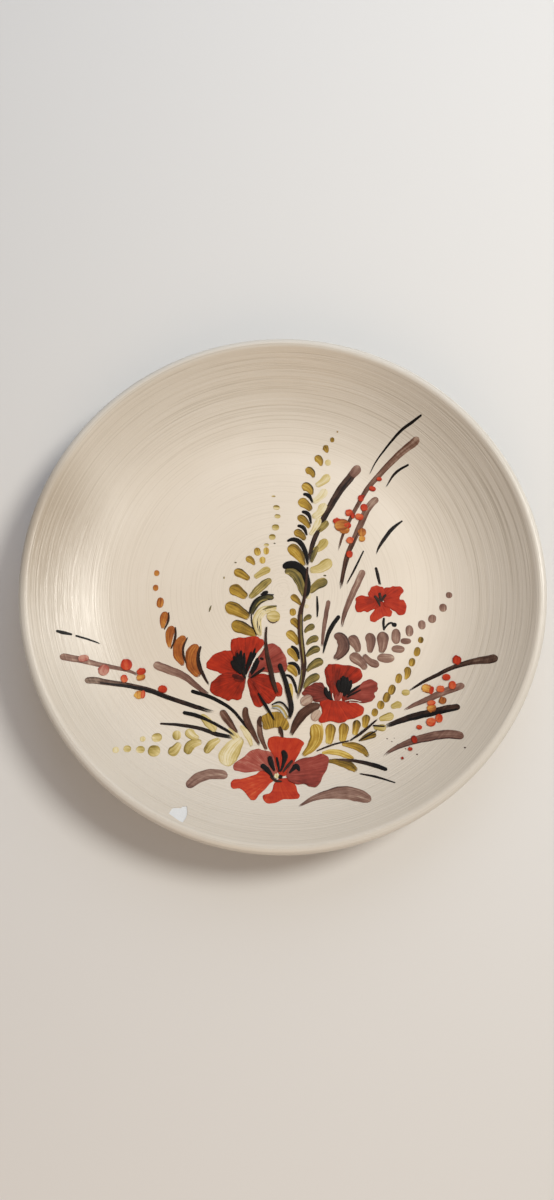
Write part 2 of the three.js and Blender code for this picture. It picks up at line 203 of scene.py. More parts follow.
class Shader:
    """One material and the nodes that make it."""

    def __init__(self, name):
        self.material = bpy.data.materials.new(name)
        self.material.use_nodes = True
        self.tree = self.material.node_tree
        self.tree.nodes.clear()
        self.surface = self.node("ShaderNodeBsdfPrincipled", {}, {})
        output = self.node("ShaderNodeOutputMaterial", {}, {})
        self.tree.links.new(self.surface.outputs[0], output.inputs[0])

    def node(self, kind, settings, inputs):
        """Adds a node: its settings first, then the values or links of its sockets."""
        node = self.tree.nodes.new(kind)
        for key, setting in settings.items():
            if key == "stops":
                self.ramp_stops(node, setting)
            else:
                setattr(node, key, setting)
        for key, value in inputs.items():
            self.plug(node.inputs[key], value)
        return node

    def ramp_stops(self, node, stops):
        elements = node.color_ramp.elements
        while len(elements) < len(stops):
            elements.new(1.0)
        for element, (place, code) in zip(elements, stops):
            element.position = place
            element.color = linear(code)

    def plug(self, socket, value):
        if isinstance(value, Value):
            value = value.socket
        if isinstance(value, bpy.types.NodeSocket):
            self.tree.links.new(value, socket)
        else:
            socket.default_value = value

    def place(self):
        """Object coordinates in millimetres, as three values and as a vector."""
        where = self.node("ShaderNodeTexCoord", {}, {}).outputs["Object"]
        scaled = self.node("ShaderNodeVectorMath", {"operation": "SCALE"}, {0: where, "Scale": 1 / MM})
        parts = self.node("ShaderNodeSeparateXYZ", {}, {0: scaled.outputs[0]})
        return [Value(self, out) for out in parts.outputs], scaled.outputs[0]

    def vector(self, x, y, z=0.0):
        return self.node("ShaderNodeCombineXYZ", {}, {0: x, 1: y, 2: z}).outputs[0]

    def noise(self, vector, scale=1.0, detail=2.0, rough=0.5):
        inputs = {"Vector": vector, "Scale": scale, "Detail": detail, "Roughness": rough}
        return Value(self, self.node("ShaderNodeTexNoise", {}, inputs).outputs[0])

    def attribute(self, name):
        return Value(self, self.node("ShaderNodeAttribute", {"attribute_name": name}, {}).outputs["Fac"])

    def ramp(self, value, stops):
        return self.node("ShaderNodeValToRGB", {"stops": stops}, {0: value}).outputs[0]

    def mix(self, share, first, second):
        first = linear(first) if isinstance(first, str) else first
        second = linear(second) if isinstance(second, str) else second
        settings = {"data_type": "RGBA", "blend_type": "MIX"}
        return self.node("ShaderNodeMix", settings, {0: share, 6: first, 7: second}).outputs[2]

    def bump(self, height, distance, strength=1.0, under=None):
        inputs = {"Height": height, "Distance": distance, "Strength": strength}
        if under is not None:
            inputs["Normal"] = under
        return self.node("ShaderNodeBump", {}, inputs).outputs[0]

    def finish(self, **sockets):
        for name, value in sockets.items():
            self.plug(self.surface.inputs[name.replace("_", " ").title()], value)
        return self.material


def brushed_rings(shader, x, y, r, pitch, turns, detail=3.0):
    """Noise drawn out round the plate's axis: streaks `pitch` apart that fade along the turn."""
    around = shader.vector(r / pitch, x / r * turns, y / r * turns)
    return shader.noise(around, 1.0, detail, 0.55)


# A faint painted shadow darkens the coat on the left of the wall: its middle, its reach, and
# how much it is drawn out up and down.
SHADOW_PATCH = (-134, 26)
SHADOW_REACH = 40
SHADOW_CORE = 6
SHADOW_DRAW = 0.6


def cream_coat():
    shader = Shader("cream_coat")
    (x, y, z), where = shader.place()
    r = (x * x + y * y + 1.0).root()
    wide = brushed_rings(shader, x, y, r, 4.5, 0.8)
    fine = brushed_rings(shader, x, y, r, 0.9, 1.3, 2.0)
    hair = brushed_rings(shader, x, y, r, 0.38, 3.0)
    cloud = shader.noise(where, 0.016, 3.0)
    speck = shader.noise(where, 0.9, 2.0)
    wall = r.between(WELL_RADIUS - 5, PLATE_RADIUS - 14)
    rim = r.between(PLATE_RADIUS - 7, PLATE_RADIUS - 2)
    # Painted shade: the ring lines in the coat's colour and the darkened grooves are drawn stronger on the
    # upper right of the wall, the side turned away from the key light.
    wear_and_shade = ((x * 0.55 + y * 0.8) / r).between(-0.4, 0.9) * 0.85 + 0.15
    streaks = (wide - 0.5) * 0.2 + (fine - 0.5) * 1.2
    tone = 0.55 + (wide - 0.5) * 0.1 + (fine - 0.5) * 0.12 + streaks * wall * wear_and_shade + (cloud - 0.5) * 0.4
    cream = shader.ramp(tone, [(0.0, "c6baa8"), (0.35, "d6cbba"), (0.6, "e0d6c7"), (1.0, "e9e1d5")])
    # The wall is mixed greyer than the well: partly a greyer coat, partly painted shade on the steep wall.
    grey = shader.mix(wall * 0.5, cream, "b7afa2")
    # The grooves are darkened: partly dirt in them, partly painted shade.
    groove = fine.between(0.47, 0.3) * wall * wear_and_shade * 0.25
    groove_dirt_and_shade = shader.mix(groove, grey, "8f8678")
    # Painted highlight: the round lip is drawn lighter and cooler than the coat inside it.
    lip = shader.mix(rim * 0.6, groove_dirt_and_shade, "d2cec6")
    # A painted shadow on the left of the wall.
    shadow_x, shadow_y = x - SHADOW_PATCH[0], (y - SHADOW_PATCH[1]) * SHADOW_DRAW
    shadow_mask = (shadow_x * shadow_x + shadow_y * shadow_y).root().between(SHADOW_REACH, SHADOW_CORE)
    painted_shadow = shader.mix(shadow_mask * 0.58, lip, "97866f")
    dust = speck.between(0.68, 0.8) * 0.2
    colour = shader.mix(dust, painted_shadow, "b0a28c")
    relief = fine * 0.65 + hair * 0.35
    rings = shader.bump(relief, 0.0002, 0.09)
    strong = shader.bump(relief * wall, 0.0004, 0.85, rings)
    grain = shader.bump(speck, 0.00005, 0.3, strong)
    rough = 0.3 + (fine - 0.5) * 0.3 + (cloud - 0.5) * 0.15
    return shader.finish(base_color=colour, roughness=rough, normal=grain)


def fired_clay():
    shader = Shader("fired_clay")
    (x, y, z), where = shader.place()
    r = (x * x + y * y + 1.0).root()
    turning = brushed_rings(shader, x, y, r, 2.4, 1.0)
    grain = shader.noise(where, 1.4, 4.0, 0.6)
    cloud = shader.noise(where, 0.03, 2.0)
    tone = 0.5 + (turning - 0.5) * 0.4 + (grain - 0.5) * 0.5 + (cloud - 0.5) * 0.4
    clay = shader.ramp(tone, [(0.0, "c3c3c2"), (0.4, "d5d6d6"), (0.7, "dfe0e1"), (1.0, "e8e8e8")])
    wear_and_shade = shader.mix(z.between(1.6, 0.1) * 0.7, clay, "b7aea0")
    relief = shader.bump(grain * 0.6 + turning * 0.4, 0.0002, 0.4)
    return shader.finish(base_color=wear_and_shade, roughness=0.55 + grain * 0.25, normal=relief)


def paint(name, stops, streak, rough=0.48):
    """Acrylic paint half mixed on the brush. A stroke's `tone` picks its place on the ramp
    of colours, streaks run along the stroke on its own map, and where the stroke is `dry`
    the coat shows between the hairs."""
    shader = Shader(name)
    (x, y, z), where = shader.place()
    r = (x * x + y * y + 1.0).root()
    lay = shader.node("ShaderNodeUVMap", {"uv_map": "Stroke"}, {}).outputs[0]
    parts = shader.node("ShaderNodeSeparateXYZ", {}, {0: lay})
    along, across = [Value(shader, out) for out in parts.outputs[:2]]
    along, across = along * 1000.0, across * 1000.0
    hairs = shader.noise(shader.vector(along * 0.08, across * 2.6), 1.0, 3.0, 0.6)
    bands = shader.noise(shader.vector(along * 0.06 + 7.3, across * 0.8), 1.0, 2.0)
    daub = shader.noise(where, 0.24, 3.0)
    rings = brushed_rings(shader, x, y, r, 1.1, 3.0) - 0.5
    wall = r.between(WELL_RADIUS, PLATE_RADIUS - 25)
    mixed = (hairs - 0.5) * streak + (bands - 0.5) * streak * 1.1 + (daub - 0.5) * 0.5
    tone = shader.attribute("tone") + mixed + rings * wall * 0.5
    colour = shader.ramp(tone, stops)
    cover = 1.22 - shader.attribute("dry") - hairs - rings * wall * 0.4
    relief = shader.bump(hairs * 0.7 + daub * 0.3, 0.0003, 0.5)
    rough = rough + (hairs - 0.5) * 0.3
    shader.plug(shader.surface.inputs["Specular IOR Level"], 0.16)
    return shader.finish(base_color=colour, roughness=rough, normal=relief, alpha=cover.between(0.0, 0.14))


RAMPS = {
    "red_paint": [(0.0, "3a0f09"), (0.25, "7c200f"), (0.5, "a82c15"), (0.75, "ba3f1f"), (1.0, "cb6a40")],
    "mauve_red_paint": [(0.0, "3c1712"), (0.25, "6c2b22"), (0.5, "8c3b30"), (0.75, "a05245"),
                        (1.0, "b88674")],
    "black_paint": [(0.0, "060404"), (0.3, "130e0b"), (0.55, "34221a"), (0.8, "594236"), (1.0, "8a7464")],
    "brown_paint": [(0.0, "1a110c"), (0.3, "3b2419"), (0.55, "57392c"), (0.8, "795a4b"), (1.0, "a48b7a")],
    "mauve_paint": [(0.0, "2e1c18"), (0.3, "553a33"), (0.55, "745448"), (0.8, "937465"), (1.0, "b8a28f")],
    "olive_paint": [(0.0, "16150e"), (0.25, "434026"), (0.5, "716436"), (0.75, "958245"), (1.0, "c0ad70")],
    "ochre_paint": [(0.0, "2e210c"), (0.22, "5f4a1b"), (0.5, "93732a"), (0.75, "b39039"), (1.0, "cfb868")],
    "orange_paint": [(0.0, "3a1f10"), (0.25, "743f1c"), (0.5, "9c5626"), (0.75, "bd7f38"), (1.0, "d3a650")],
    "pale_paint": [(0.0, "7e6a2e"), (0.3, "a4904c"), (0.55, "bda96a"), (0.8, "cebd88"), (1.0, "dbd0b0")],
    "cream_coat": [(0.0, "8f9aa0"), (0.5, "d9d2c4"), (1.0, "ebe5da")],
}
# How strongly the hairs of the brush show in each paint.
STREAKS = {"red_paint": 0.5, "mauve_red_paint": 0.6, "black_paint": 0.35, "brown_paint": 0.6,
           "mauve_paint": 0.65, "olive_paint": 1.0, "ochre_paint": 1.0, "orange_paint": 0.8,
           "pale_paint": 0.9, "cream_coat": 0.4}
PAINTS = {name: paint("streaked_" + name, stops, STREAKS[name]) for name, stops in RAMPS.items()}

# --------------------------------------------------------- modelling by hand


def deselect():
    if bpy.context.object and bpy.context.object.mode != "OBJECT":
        bpy.ops.object.mode_set(mode="OBJECT")
    bpy.ops.object.select_all(action="DESELECT")


def take(piece):
    deselect()
    piece.select_set(True)
    bpy.context.view_layer.objects.active = piece
    return piece


def edit(piece):
    take(piece)
    bpy.ops.object.mode_set(mode="EDIT")
    bpy.ops.mesh.select_all(action="SELECT")


def done(piece):
    bpy.ops.object.mode_set(mode="OBJECT")
    piece.select_set(False)
    return piece


def points_of(piece):
    """The places of a piece's points in metres, one row each."""
    co = np.zeros(len(piece.data.vertices) * 3)
    piece.data.vertices.foreach_get("co", co)
    return co.reshape(-1, 3)


def place_points(piece, co):
    piece.data.vertices.foreach_set("co", co.ravel())


def turned(name, section, steps):
    """A solid turned about the plate's axis from a half section in millimetres, which
    starts and ends on the axis."""
    deselect()
    bpy.ops.mesh.primitive_plane_add(size=MM, location=(0, 0, 0))
    piece = bpy.context.object
    piece.name = name
    edit(piece)
    bpy.ops.mesh.merge(type="CENTER")
    bpy.ops.transform.translate(value=(section[0][0] * MM, 0, section[0][1] * MM))
    for (r0, z0), (r1, z1) in zip(section, section[1:]):
        step = ((r1 - r0) * MM, 0, (z1 - z0) * MM)
        bpy.ops.mesh.extrude_vertices_move(TRANSFORM_OT_translate={"value": step})
    bpy.ops.mesh.select_all(action="SELECT")
    bpy.ops.mesh.spin(steps=steps, angle=2 * math.pi, center=(0, 0, 0), axis=(0, 0, 1))
    bpy.ops.mesh.select_all(action="SELECT")
    bpy.ops.mesh.remove_doubles(threshold=1e-6)
    bpy.ops.mesh.normals_make_consistent(inside=False)
    done(piece)
    take(piece)
    bpy.ops.object.shade_smooth_by_angle(angle=math.radians(50))
    return piece


def outline_curve(points, name="Outline", closed=True):
    """A flat curve through given points in millimetres."""
    data = bpy.data.curves.new(name, "CURVE")
    data.dimensions = "2D"
    data.fill_mode = "NONE"
    data.resolution_u = 6
    spline = data.splines.new("BEZIER")
    spline.bezier_points.add(len(points) - 1)
    spline.use_cyclic_u = closed
    for knot, (x, y) in zip(spline.bezier_points, points):
        knot.co = (x * MM, y * MM, 0)
        knot.handle_left_type = knot.handle_right_type = "AUTO"
    curve = bpy.data.objects.new(name, data)
    bpy.context.scene.collection.objects.link(curve)
    return curve


# A brush stroke before it is bent: a strip from 0 to 1 along X and from -1 to 1 across,
# finer at its ends, crowned, and closed underneath.
STRIP_COLUMNS = 26
STRIP_ROWS = 6
CROWN = [0.02, 0.085, 0.075, 0.065, 0.075, 0.085, 0.02]
UNDER = -0.02


def make_strip():
    deselect()
    bpy.ops.mesh.primitive_grid_add(x_subdivisions=STRIP_COLUMNS, y_subdivisions=STRIP_ROWS, size=2)
    strip = bpy.context.object
    strip.name = "Strip"
    for vertex in strip.data.vertices:
        share = (vertex.co.x + 1) / 2
        row = round((vertex.co.y + 1) / 2 * STRIP_ROWS)
        vertex.co.x = (1 - math.cos(math.pi * share)) / 2
        vertex.co.z = CROWN[row]
    edit(strip)
    bpy.ops.mesh.extrude_region_move(TRANSFORM_OT_translate={"value": (0, 0, -1)})
    done(strip)
    for vertex in strip.data.vertices:
        if vertex.co.z < -0.5:
            vertex.co.z = UNDER
    edit(strip)
    bpy.ops.mesh.normals_make_consistent(inside=False)
    return done(strip)


STRIP = make_strip()
STROKE_DRAW = random.Random(5)
# Wet paint creeps outwards as it dries, and leaves a darker edge.
RIM = 0.14
PETAL_RIM = 0.24
# Width in metres that one radian of a petal's fan takes on the map of its streaks.
FAN_WIDTH = 0.014


def length_of(path):
    return sum(math.dist(a, b) for a, b in zip(path, path[1:]))


def write_lay(piece, along, across, tone, dry):
    """Gives a piece the map that its streaks follow, in metres, its tone and its dryness."""
    mesh = piece.data
    while mesh.uv_layers:
        mesh.uv_layers.remove(mesh.uv_layers[0])
    layer = mesh.uv_layers.new(name="Stroke")
    loops = np.zeros(len(mesh.loops), int)
    mesh.loops.foreach_get("vertex_index", loops)
    layer.data.foreach_set("uv", np.column_stack([along[loops], across[loops]]).ravel())
    mesh.attributes.new("tone", "FLOAT", "POINT").data.foreach_set("value", tone)
    mesh.attributes.new("dry", "FLOAT", "POINT").data.foreach_set("value", dry)


def stroke(path, widths, tone=0.5, tail=None, side=0.0, layer=0, dry=0.75, start_dry=0.0, oval=False):
    """One pull of the brush. `path` runs from head to tail in millimetres, with the full
    width at each of its points. The tone goes from `tone` to `tail`. A positive `side`
    darkens the left edge by that much, and a negative one the right edge. Strokes on top
    of others have a higher `layer`. The brush runs `dry` at the tail. An `oval` is a press
    of the brush without a pull."""
    tail = tone if tail is None else tail
    piece = STRIP.copy()
    piece.data = STRIP.data.copy()
    bpy.context.scene.collection.objects.link(piece)
    co = points_of(piece)
    length = length_of(path)
    share = co[:, 0].copy()
    row = co[:, 1].copy()
    widest = max(widths)
    for end, distance in ((widths[0], share * length), (widths[-1], (1 - share) * length)):
        reach = max(end / 2, 0.15)
        rest = 1 - np.clip(distance / reach, 0, 1)
        co[:, 1] *= np.maximum(np.sqrt(1 - rest ** 2), 0.12)
    if oval:
        co[:, 1] = row * np.maximum((1 - np.abs(2 * share - 1) ** 2.3) ** (1 / 2.3), 0.14)
    start = STROKE_DRAW.uniform(0, 50)
    wobble = np.sin(share * length * 0.9 + start) + np.sin(share * length * 0.37 + start * 2)
    co[:, 1] *= 1 + 0.035 * wobble * np.sign(row)
    place_points(piece, co)
    across = row * widest / 2
    offset = STROKE_DRAW.uniform(0, 0.9)
    dark = np.clip(row * math.copysign(1, side) + 0.1, 0, 1) ** 1.4 * abs(side)
    from_end = np.clip(np.minimum(share, 1 - share) * length / max(0.2, widest / 2), 0, 1)
    rim = RIM * np.maximum(np.abs(row) > 0.9, from_end < 0.12)
    dryness = dry * share ** 4 + start_dry * (1 - share) ** 3
    write_lay(piece, share * length * MM + offset, across * MM + offset,
              tone + (tail - tone) * share - dark - rim, dryness)
    curve = outline_curve(path, "Path", closed=False)
    spline = curve.data.splines[0]
    curve.data.use_stretch = curve.data.use_deform_bounds = curve.data.use_radius = True
    curve.data.resolution_u = 8
    for knot, width in zip(spline.bezier_points, widths):
        knot.radius = width / 2 * MM
    bend = piece.modifiers.new("Bend", "CURVE")
    bend.object = curve
    take(piece)
    bpy.ops.object.modifier_apply(modifier="Bend")
    bpy.data.objects.remove(curve)
    return raised(piece, layer)


LAYER = 0.16
FOOTING = 0.12


def raised(piece, layer):
    """Lifts a stroke's face to its layer, and carries its underside into the coat."""
    co = points_of(piece)
    co[:, 2] = np.where(co[:, 2] < 0, -FOOTING * MM, co[:, 2] + (0.04 + LAYER * layer) * MM)
    place_points(piece, co)
    return piece


# How far out each ring of a petal lies, as a share of the way, and its rise in millimetres.
PETAL_RINGS = [(0.965, 0.1), (0.9, 0.03), (0.8, -0.02), (0.68, -0.01), (0.54, -0.01), (0.4, 0.0),
               (0.26, 0.0), (0.12, 0.0)]


def petal(outline, heart, flower, tone=0.5, inner=None, side=0.0, layer=0):
    """A petal or round leaf: its outline drawn in rings towards its heart. Its streaks
    fan from the middle of the flower, where the tone is `inner`."""
    inner = tone if inner is None else inner
    curve = outline_curve(outline)
    take(curve)
    bpy.ops.object.convert(target="MESH")
    piece = bpy.context.object
    start = STROKE_DRAW.uniform(0, 6)
    for number, vertex in enumerate(piece.data.vertices):
        away = vertex.co.to_2d() / MM - Vector(heart)
        uneven = 0.16 * math.sin(number * 0.9 + start) + 0.14 * math.sin(number * 0.37 + 2 * start)
        vertex.co.xy = (Vector(heart) + away * (1 + uneven / away.length)) * MM
    edit(piece)
    bpy.ops.mesh.remove_doubles(threshold=1e-5)
    middle = (heart[0] * MM, heart[1] * MM, 0)
    past = 1.0
    for share, rise in PETAL_RINGS:
        bpy.ops.mesh.extrude_edges_move(TRANSFORM_OT_translate={"value": (0, 0, rise * MM)})
        shrink = share / past
        bpy.ops.transform.resize(value=(shrink, shrink, 1), center_override=middle)
        past = share
    bpy.ops.mesh.merge(type="CENTER")
    bpy.ops.mesh.select_all(action="SELECT")
    bpy.ops.mesh.extrude_region_move(TRANSFORM_OT_translate={"value": (0, 0, -MM)})
    bpy.ops.mesh.select_all(action="SELECT")
    bpy.ops.mesh.normals_make_consistent(inside=False)
    done(piece)
    co = points_of(piece)
    away = co[:, :2] - np.array(flower) * MM
    mean = np.array(heart) - np.array(flower)
    lean = math.atan2(mean[1], mean[0])
    distance = np.hypot(away[:, 0], away[:, 1])
    angle = (np.arctan2(away[:, 1], away[:, 0]) - lean + math.pi) % (2 * math.pi) - math.pi
    offset = STROKE_DRAW.uniform(0, 0.9)
    share = np.clip(distance / distance.max(), 0, 1)
    rim = PETAL_RIM * (np.abs(co[:, 2]) < 0.05 * MM)
    write_lay(piece, distance + offset, angle * FAN_WIDTH + offset,
              inner + (tone - inner) * share + side * angle - rim, np.zeros(len(co)))
    return raised(piece, layer)


def dab(x, y, width, height, tone=0.5, tail=None, side=0.0, layer=0, turn=0.0):
    """A short press of the brush: an oval about (x, y), turned by `turn` degrees. An upright
    one has its head at the top, and a lying one at the right."""
    long = max(width, height)
    short = min(width, height)
    angle = math.radians(turn + (90 if height >= width else 0))
    dx, dy = math.cos(angle) * long / 2, math.sin(angle) * long / 2
    path = [(x + dx, y + dy), (x, y), (x - dx, y - dy)]
    return stroke(path, [short, short, short], tone, tail, side, layer, dry=0.2, oval=True)


def leaf(head, tail, width, tone=0.5, end=None, side=0.0, layer=0, bend=0.12, point=0.28):
    """A leaf dab: pressed wide and round at its head, and pulled to a thin tail. A positive
    bend bows it to its left on the way."""
    (x0, y0), (x1, y1) = head, tail
    dx, dy = x1 - x0, y1 - y0
    path = []
    widths = []
    for share, wide in ((0.0, 0.82), (0.3, 1.0), (0.62, 0.78), (1.0, point)):
        bow = bend * 4 * share * (1 - share)
        path.append((x0 + dx * share - dy * bow, y0 + dy * share + dx * bow))
        widths.append(width * wide)
    return stroke(path, widths, tone, end, side, layer)


def laid(name, slot, replaced, parts):
    """Joins strokes into one piece and lays them on the coat, over its ridges."""
    deselect()
    for part in parts:
        part.select_set(True)
    bpy.context.view_layer.objects.active = parts[0]
    if len(parts) > 1:
        bpy.ops.object.join()
    piece = bpy.context.object
    piece.name = piece.data.name = name
    co = points_of(piece)
    co[:, :2] *= SPREAD
    co[:, 2] += coat_height(co[:, 0], co[:, 1])
    place_points(piece, co)
    take(piece)
    bpy.ops.object.shade_smooth_by_angle(angle=math.radians(55))
    return fitted(piece, PAINTS[slot], replaced)


def fitted(piece, material, replaced):
    piece.data.materials.clear()
    piece.data.materials.append(material)
    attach(piece, "root")
    if replaced:
        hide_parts(*replaced)
    return piece


# ------------------------------------------------------------- body and coat


def plate_body():
    inner = min(FOOT_FLAT) - FOOT_EDGE
    outer = max(FOOT_FLAT) + FOOT_EDGE
    depth = COAT + 0.05
    face = inside_face(depth, ridged=False)[::4]
    lip = lip_face(depth)
    outside = outside_face(depth, outer, ridged=False)
    recess = [(0.0, FOOT_RECESS)]
    for step in range(1, 20):
        r = inner * step / 20
        recess.append((r, FOOT_RECESS + 0.12 * math.sin(r * 0.9)))
    foot = [(inner, FOOT_RECESS), (inner, FOOT_EDGE)]
    foot += [(inner + FOOT_EDGE * (1 - k), FOOT_EDGE * h) for k, h in ((0.8, 0.45), (0.45, 0.12))]
    foot += [(inner + FOOT_EDGE, 0.0), (outer - FOOT_EDGE, 0.0)]
    foot += [(outer - FOOT_EDGE * (1 - k), FOOT_EDGE * h) for k, h in ((0.55, 0.12), (0.8, 0.45))]
    foot += [(outer, FOOT_EDGE), (outer, outside[-1][1])]
    section = recess + foot + outside[::-1] + lip[::-1] + face[::-1]
    piece = turned("plate_body_fired", section, 160)
    return fitted(piece, fired_clay(), ["plate_body"])


FLAKE = [(-58.3, -130.5), (-56.5, -127), (-55.5, -126.4), (-51.5, -126), (-51, -125), (-48.5, -124.6),
         (-48.2, -127), (-48.2, -130), (-49, -132.5), (-50.5, -135.3), (-52.5, -134.5), (-55, -132.8)]


def flake_cutter():
    """The flake's outline as a block standing square to the face."""
    middle = np.mean(np.array(FLAKE), axis=0) * SPREAD
    curve = outline_curve([((x * SPREAD - middle[0]), (y * SPREAD - middle[1])) for x, y in FLAKE])
    curve.data.resolution_u = 2
    for knot in curve.data.splines[0].bezier_points:
        knot.handle_left_type = knot.handle_right_type = "VECTOR"
    take(curve)
    bpy.ops.object.convert(target="MESH")
    cutter = bpy.context.object
    edit(cutter)
    bpy.ops.mesh.remove_doubles(threshold=1e-5)
    bpy.ops.mesh.edge_face_add()
    bpy.ops.transform.translate(value=(0, 0, -WALL / 2 * MM))
    bpy.ops.mesh.extrude_region_move(TRANSFORM_OT_translate={"value": (0, 0, WALL * MM)})
    bpy.ops.mesh.select_all(action="SELECT")
    bpy.ops.mesh.normals_make_consistent(inside=False)
    done(cutter)
    r = math.hypot(*middle)
    inwards = Vector((-middle[0] / r, -middle[1] / r, 0))
    sideways = Vector((0, 0, 1)).cross(inwards)
    cutter.rotation_mode = "AXIS_ANGLE"
    cutter.rotation_axis_angle = (slope(r), *sideways)
    cutter.location = (middle[0] * MM, middle[1] * MM, smooth_height(r) * MM)
    return cutter


def ground_coat():
    outer = max(FOOT_FLAT) + FOOT_EDGE
    stop = outer + COAT_STOP
    under = inside_face(COAT, ridged=False)[::6] + lip_face(COAT) + outside_face(COAT, stop, ridged=False)
    over = inside_face(0.0) + lip_face(0.0) + outside_face(0.0, stop)
    piece = turned("ground_coat_cream", under + over[::-1], 256)
    cutter = flake_cutter()
    cut = piece.modifiers.new("Flake", "BOOLEAN")
    cut.operation = "DIFFERENCE"
    cut.object = cutter
    cut.solver = "EXACT"
    take(piece)
    bpy.ops.object.modifier_apply(modifier="Flake")
    bpy.data.objects.remove(cutter)
    return fitted(piece, cream_coat(), ["ground_coat"])


plate_body()
ground_coat()

# ---------------------------------------------------------------- the poppies

LOW = (0, -108)
LEFT = (-20, -51)
RIGHT = (31, -61)
SMALL = (57.5, -4)


def poppy_low():
    laid("poppy_low_red_petals", "red_paint",
         ["poppy_low_petal_top", "poppy_low_petal_lower_left", "poppy_low_petal_lower_right"], [
             petal([(-5.5, -87), (4, -86.2), (12, -86.8), (14.5, -89), (13.5, -92), (10, -99.5), (4, -108),
                    (0, -106), (-2, -98), (-6, -90)], (4, -94), LOW, 0.62, 0.5, layer=1),
             petal([(-26, -112), (-20, -110), (-13, -108), (-9, -105.5), (-4, -107), (-2, -110),
                    (-4, -112.5), (-10, -119), (-13, -121.7), (-15, -121), (-20, -115.7), (-25, -115.3)],
                    (-11, -112.5), LOW, 0.72, 0.62, layer=1),
             petal([(-8, -119.5), (-4, -117.5), (-1, -111.5), (1, -109.8), (6, -109), (9.5, -112),
                    (12, -117), (13, -119), (10, -120.4), (5, -120.7), (-1, -122.8), (-5, -123)], (3, -116),
                    LOW, 0.6, 0.55),
         ])
    laid("poppy_low_mauve_petals", "mauve_red_paint", ["poppy_low_petal_left", "poppy_low_petal_right"], [
        petal([(-25, -104.5), (-19, -97.5), (-13, -93), (-9.5, -93.5), (-2.5, -96), (0, -102.5),
               (-1, -107.5), (-8, -105.5), (-15, -106.5), (-22, -106)], (-10.5, -100), LOW, 0.68, 0.7),
        petal([(5, -107.5), (9, -100.5), (20, -96.5), (26, -95), (28.8, -97.5), (28, -103), (25, -109),
               (23, -112.5), (19, -113.7), (16, -112.3), (10, -112), (6, -110)], (18, -104.5), LOW, 0.5,
               0.45, 0.12, 2),
    ])
    laid("poppy_low_stamens", "black_paint", [], [
        stroke([(-5, -97), (-3.6, -101), (-1.5, -105.5)], [2.6, 3, 1], 0.15, layer=3),
        stroke([(2.5, -93.5), (4, -96.5), (3.3, -101), (1.5, -106)], [2.4, 3.6, 2, 1], 0.1, layer=3),
        stroke([(-0.7, -97.5), (0.2, -101), (1, -106)], [1.3, 1.6, 0.8], 0.15, layer=3),
        stroke([(8.5, -99), (6, -102), (3, -106)], [1.6, 1.8, 0.9], 0.55, layer=3),
        stroke([(12.6, -105), (10.5, -102.5), (9.2, -103.5), (6.5, -106.5)], [1, 3.4, 2.4, 0.8], 0.15,
               layer=3),
        stroke([(-9.5, -102), (-6, -104.5), (-2, -109.5)], [2.6, 3, 1], 0.12, layer=3),
        dab(1.8, -108.5, 2.4, 2.2, 0.3, layer=3),
        stroke([(-4, -108.5), (-1, -110.5), (3, -111)], [1, 1.6, 0.8], 0.5, layer=3),
    ])
    laid("poppy_low_middle", "pale_paint", [], [dab(-0.6, -108, 2.4, 2.6, 0.9, layer=4)])


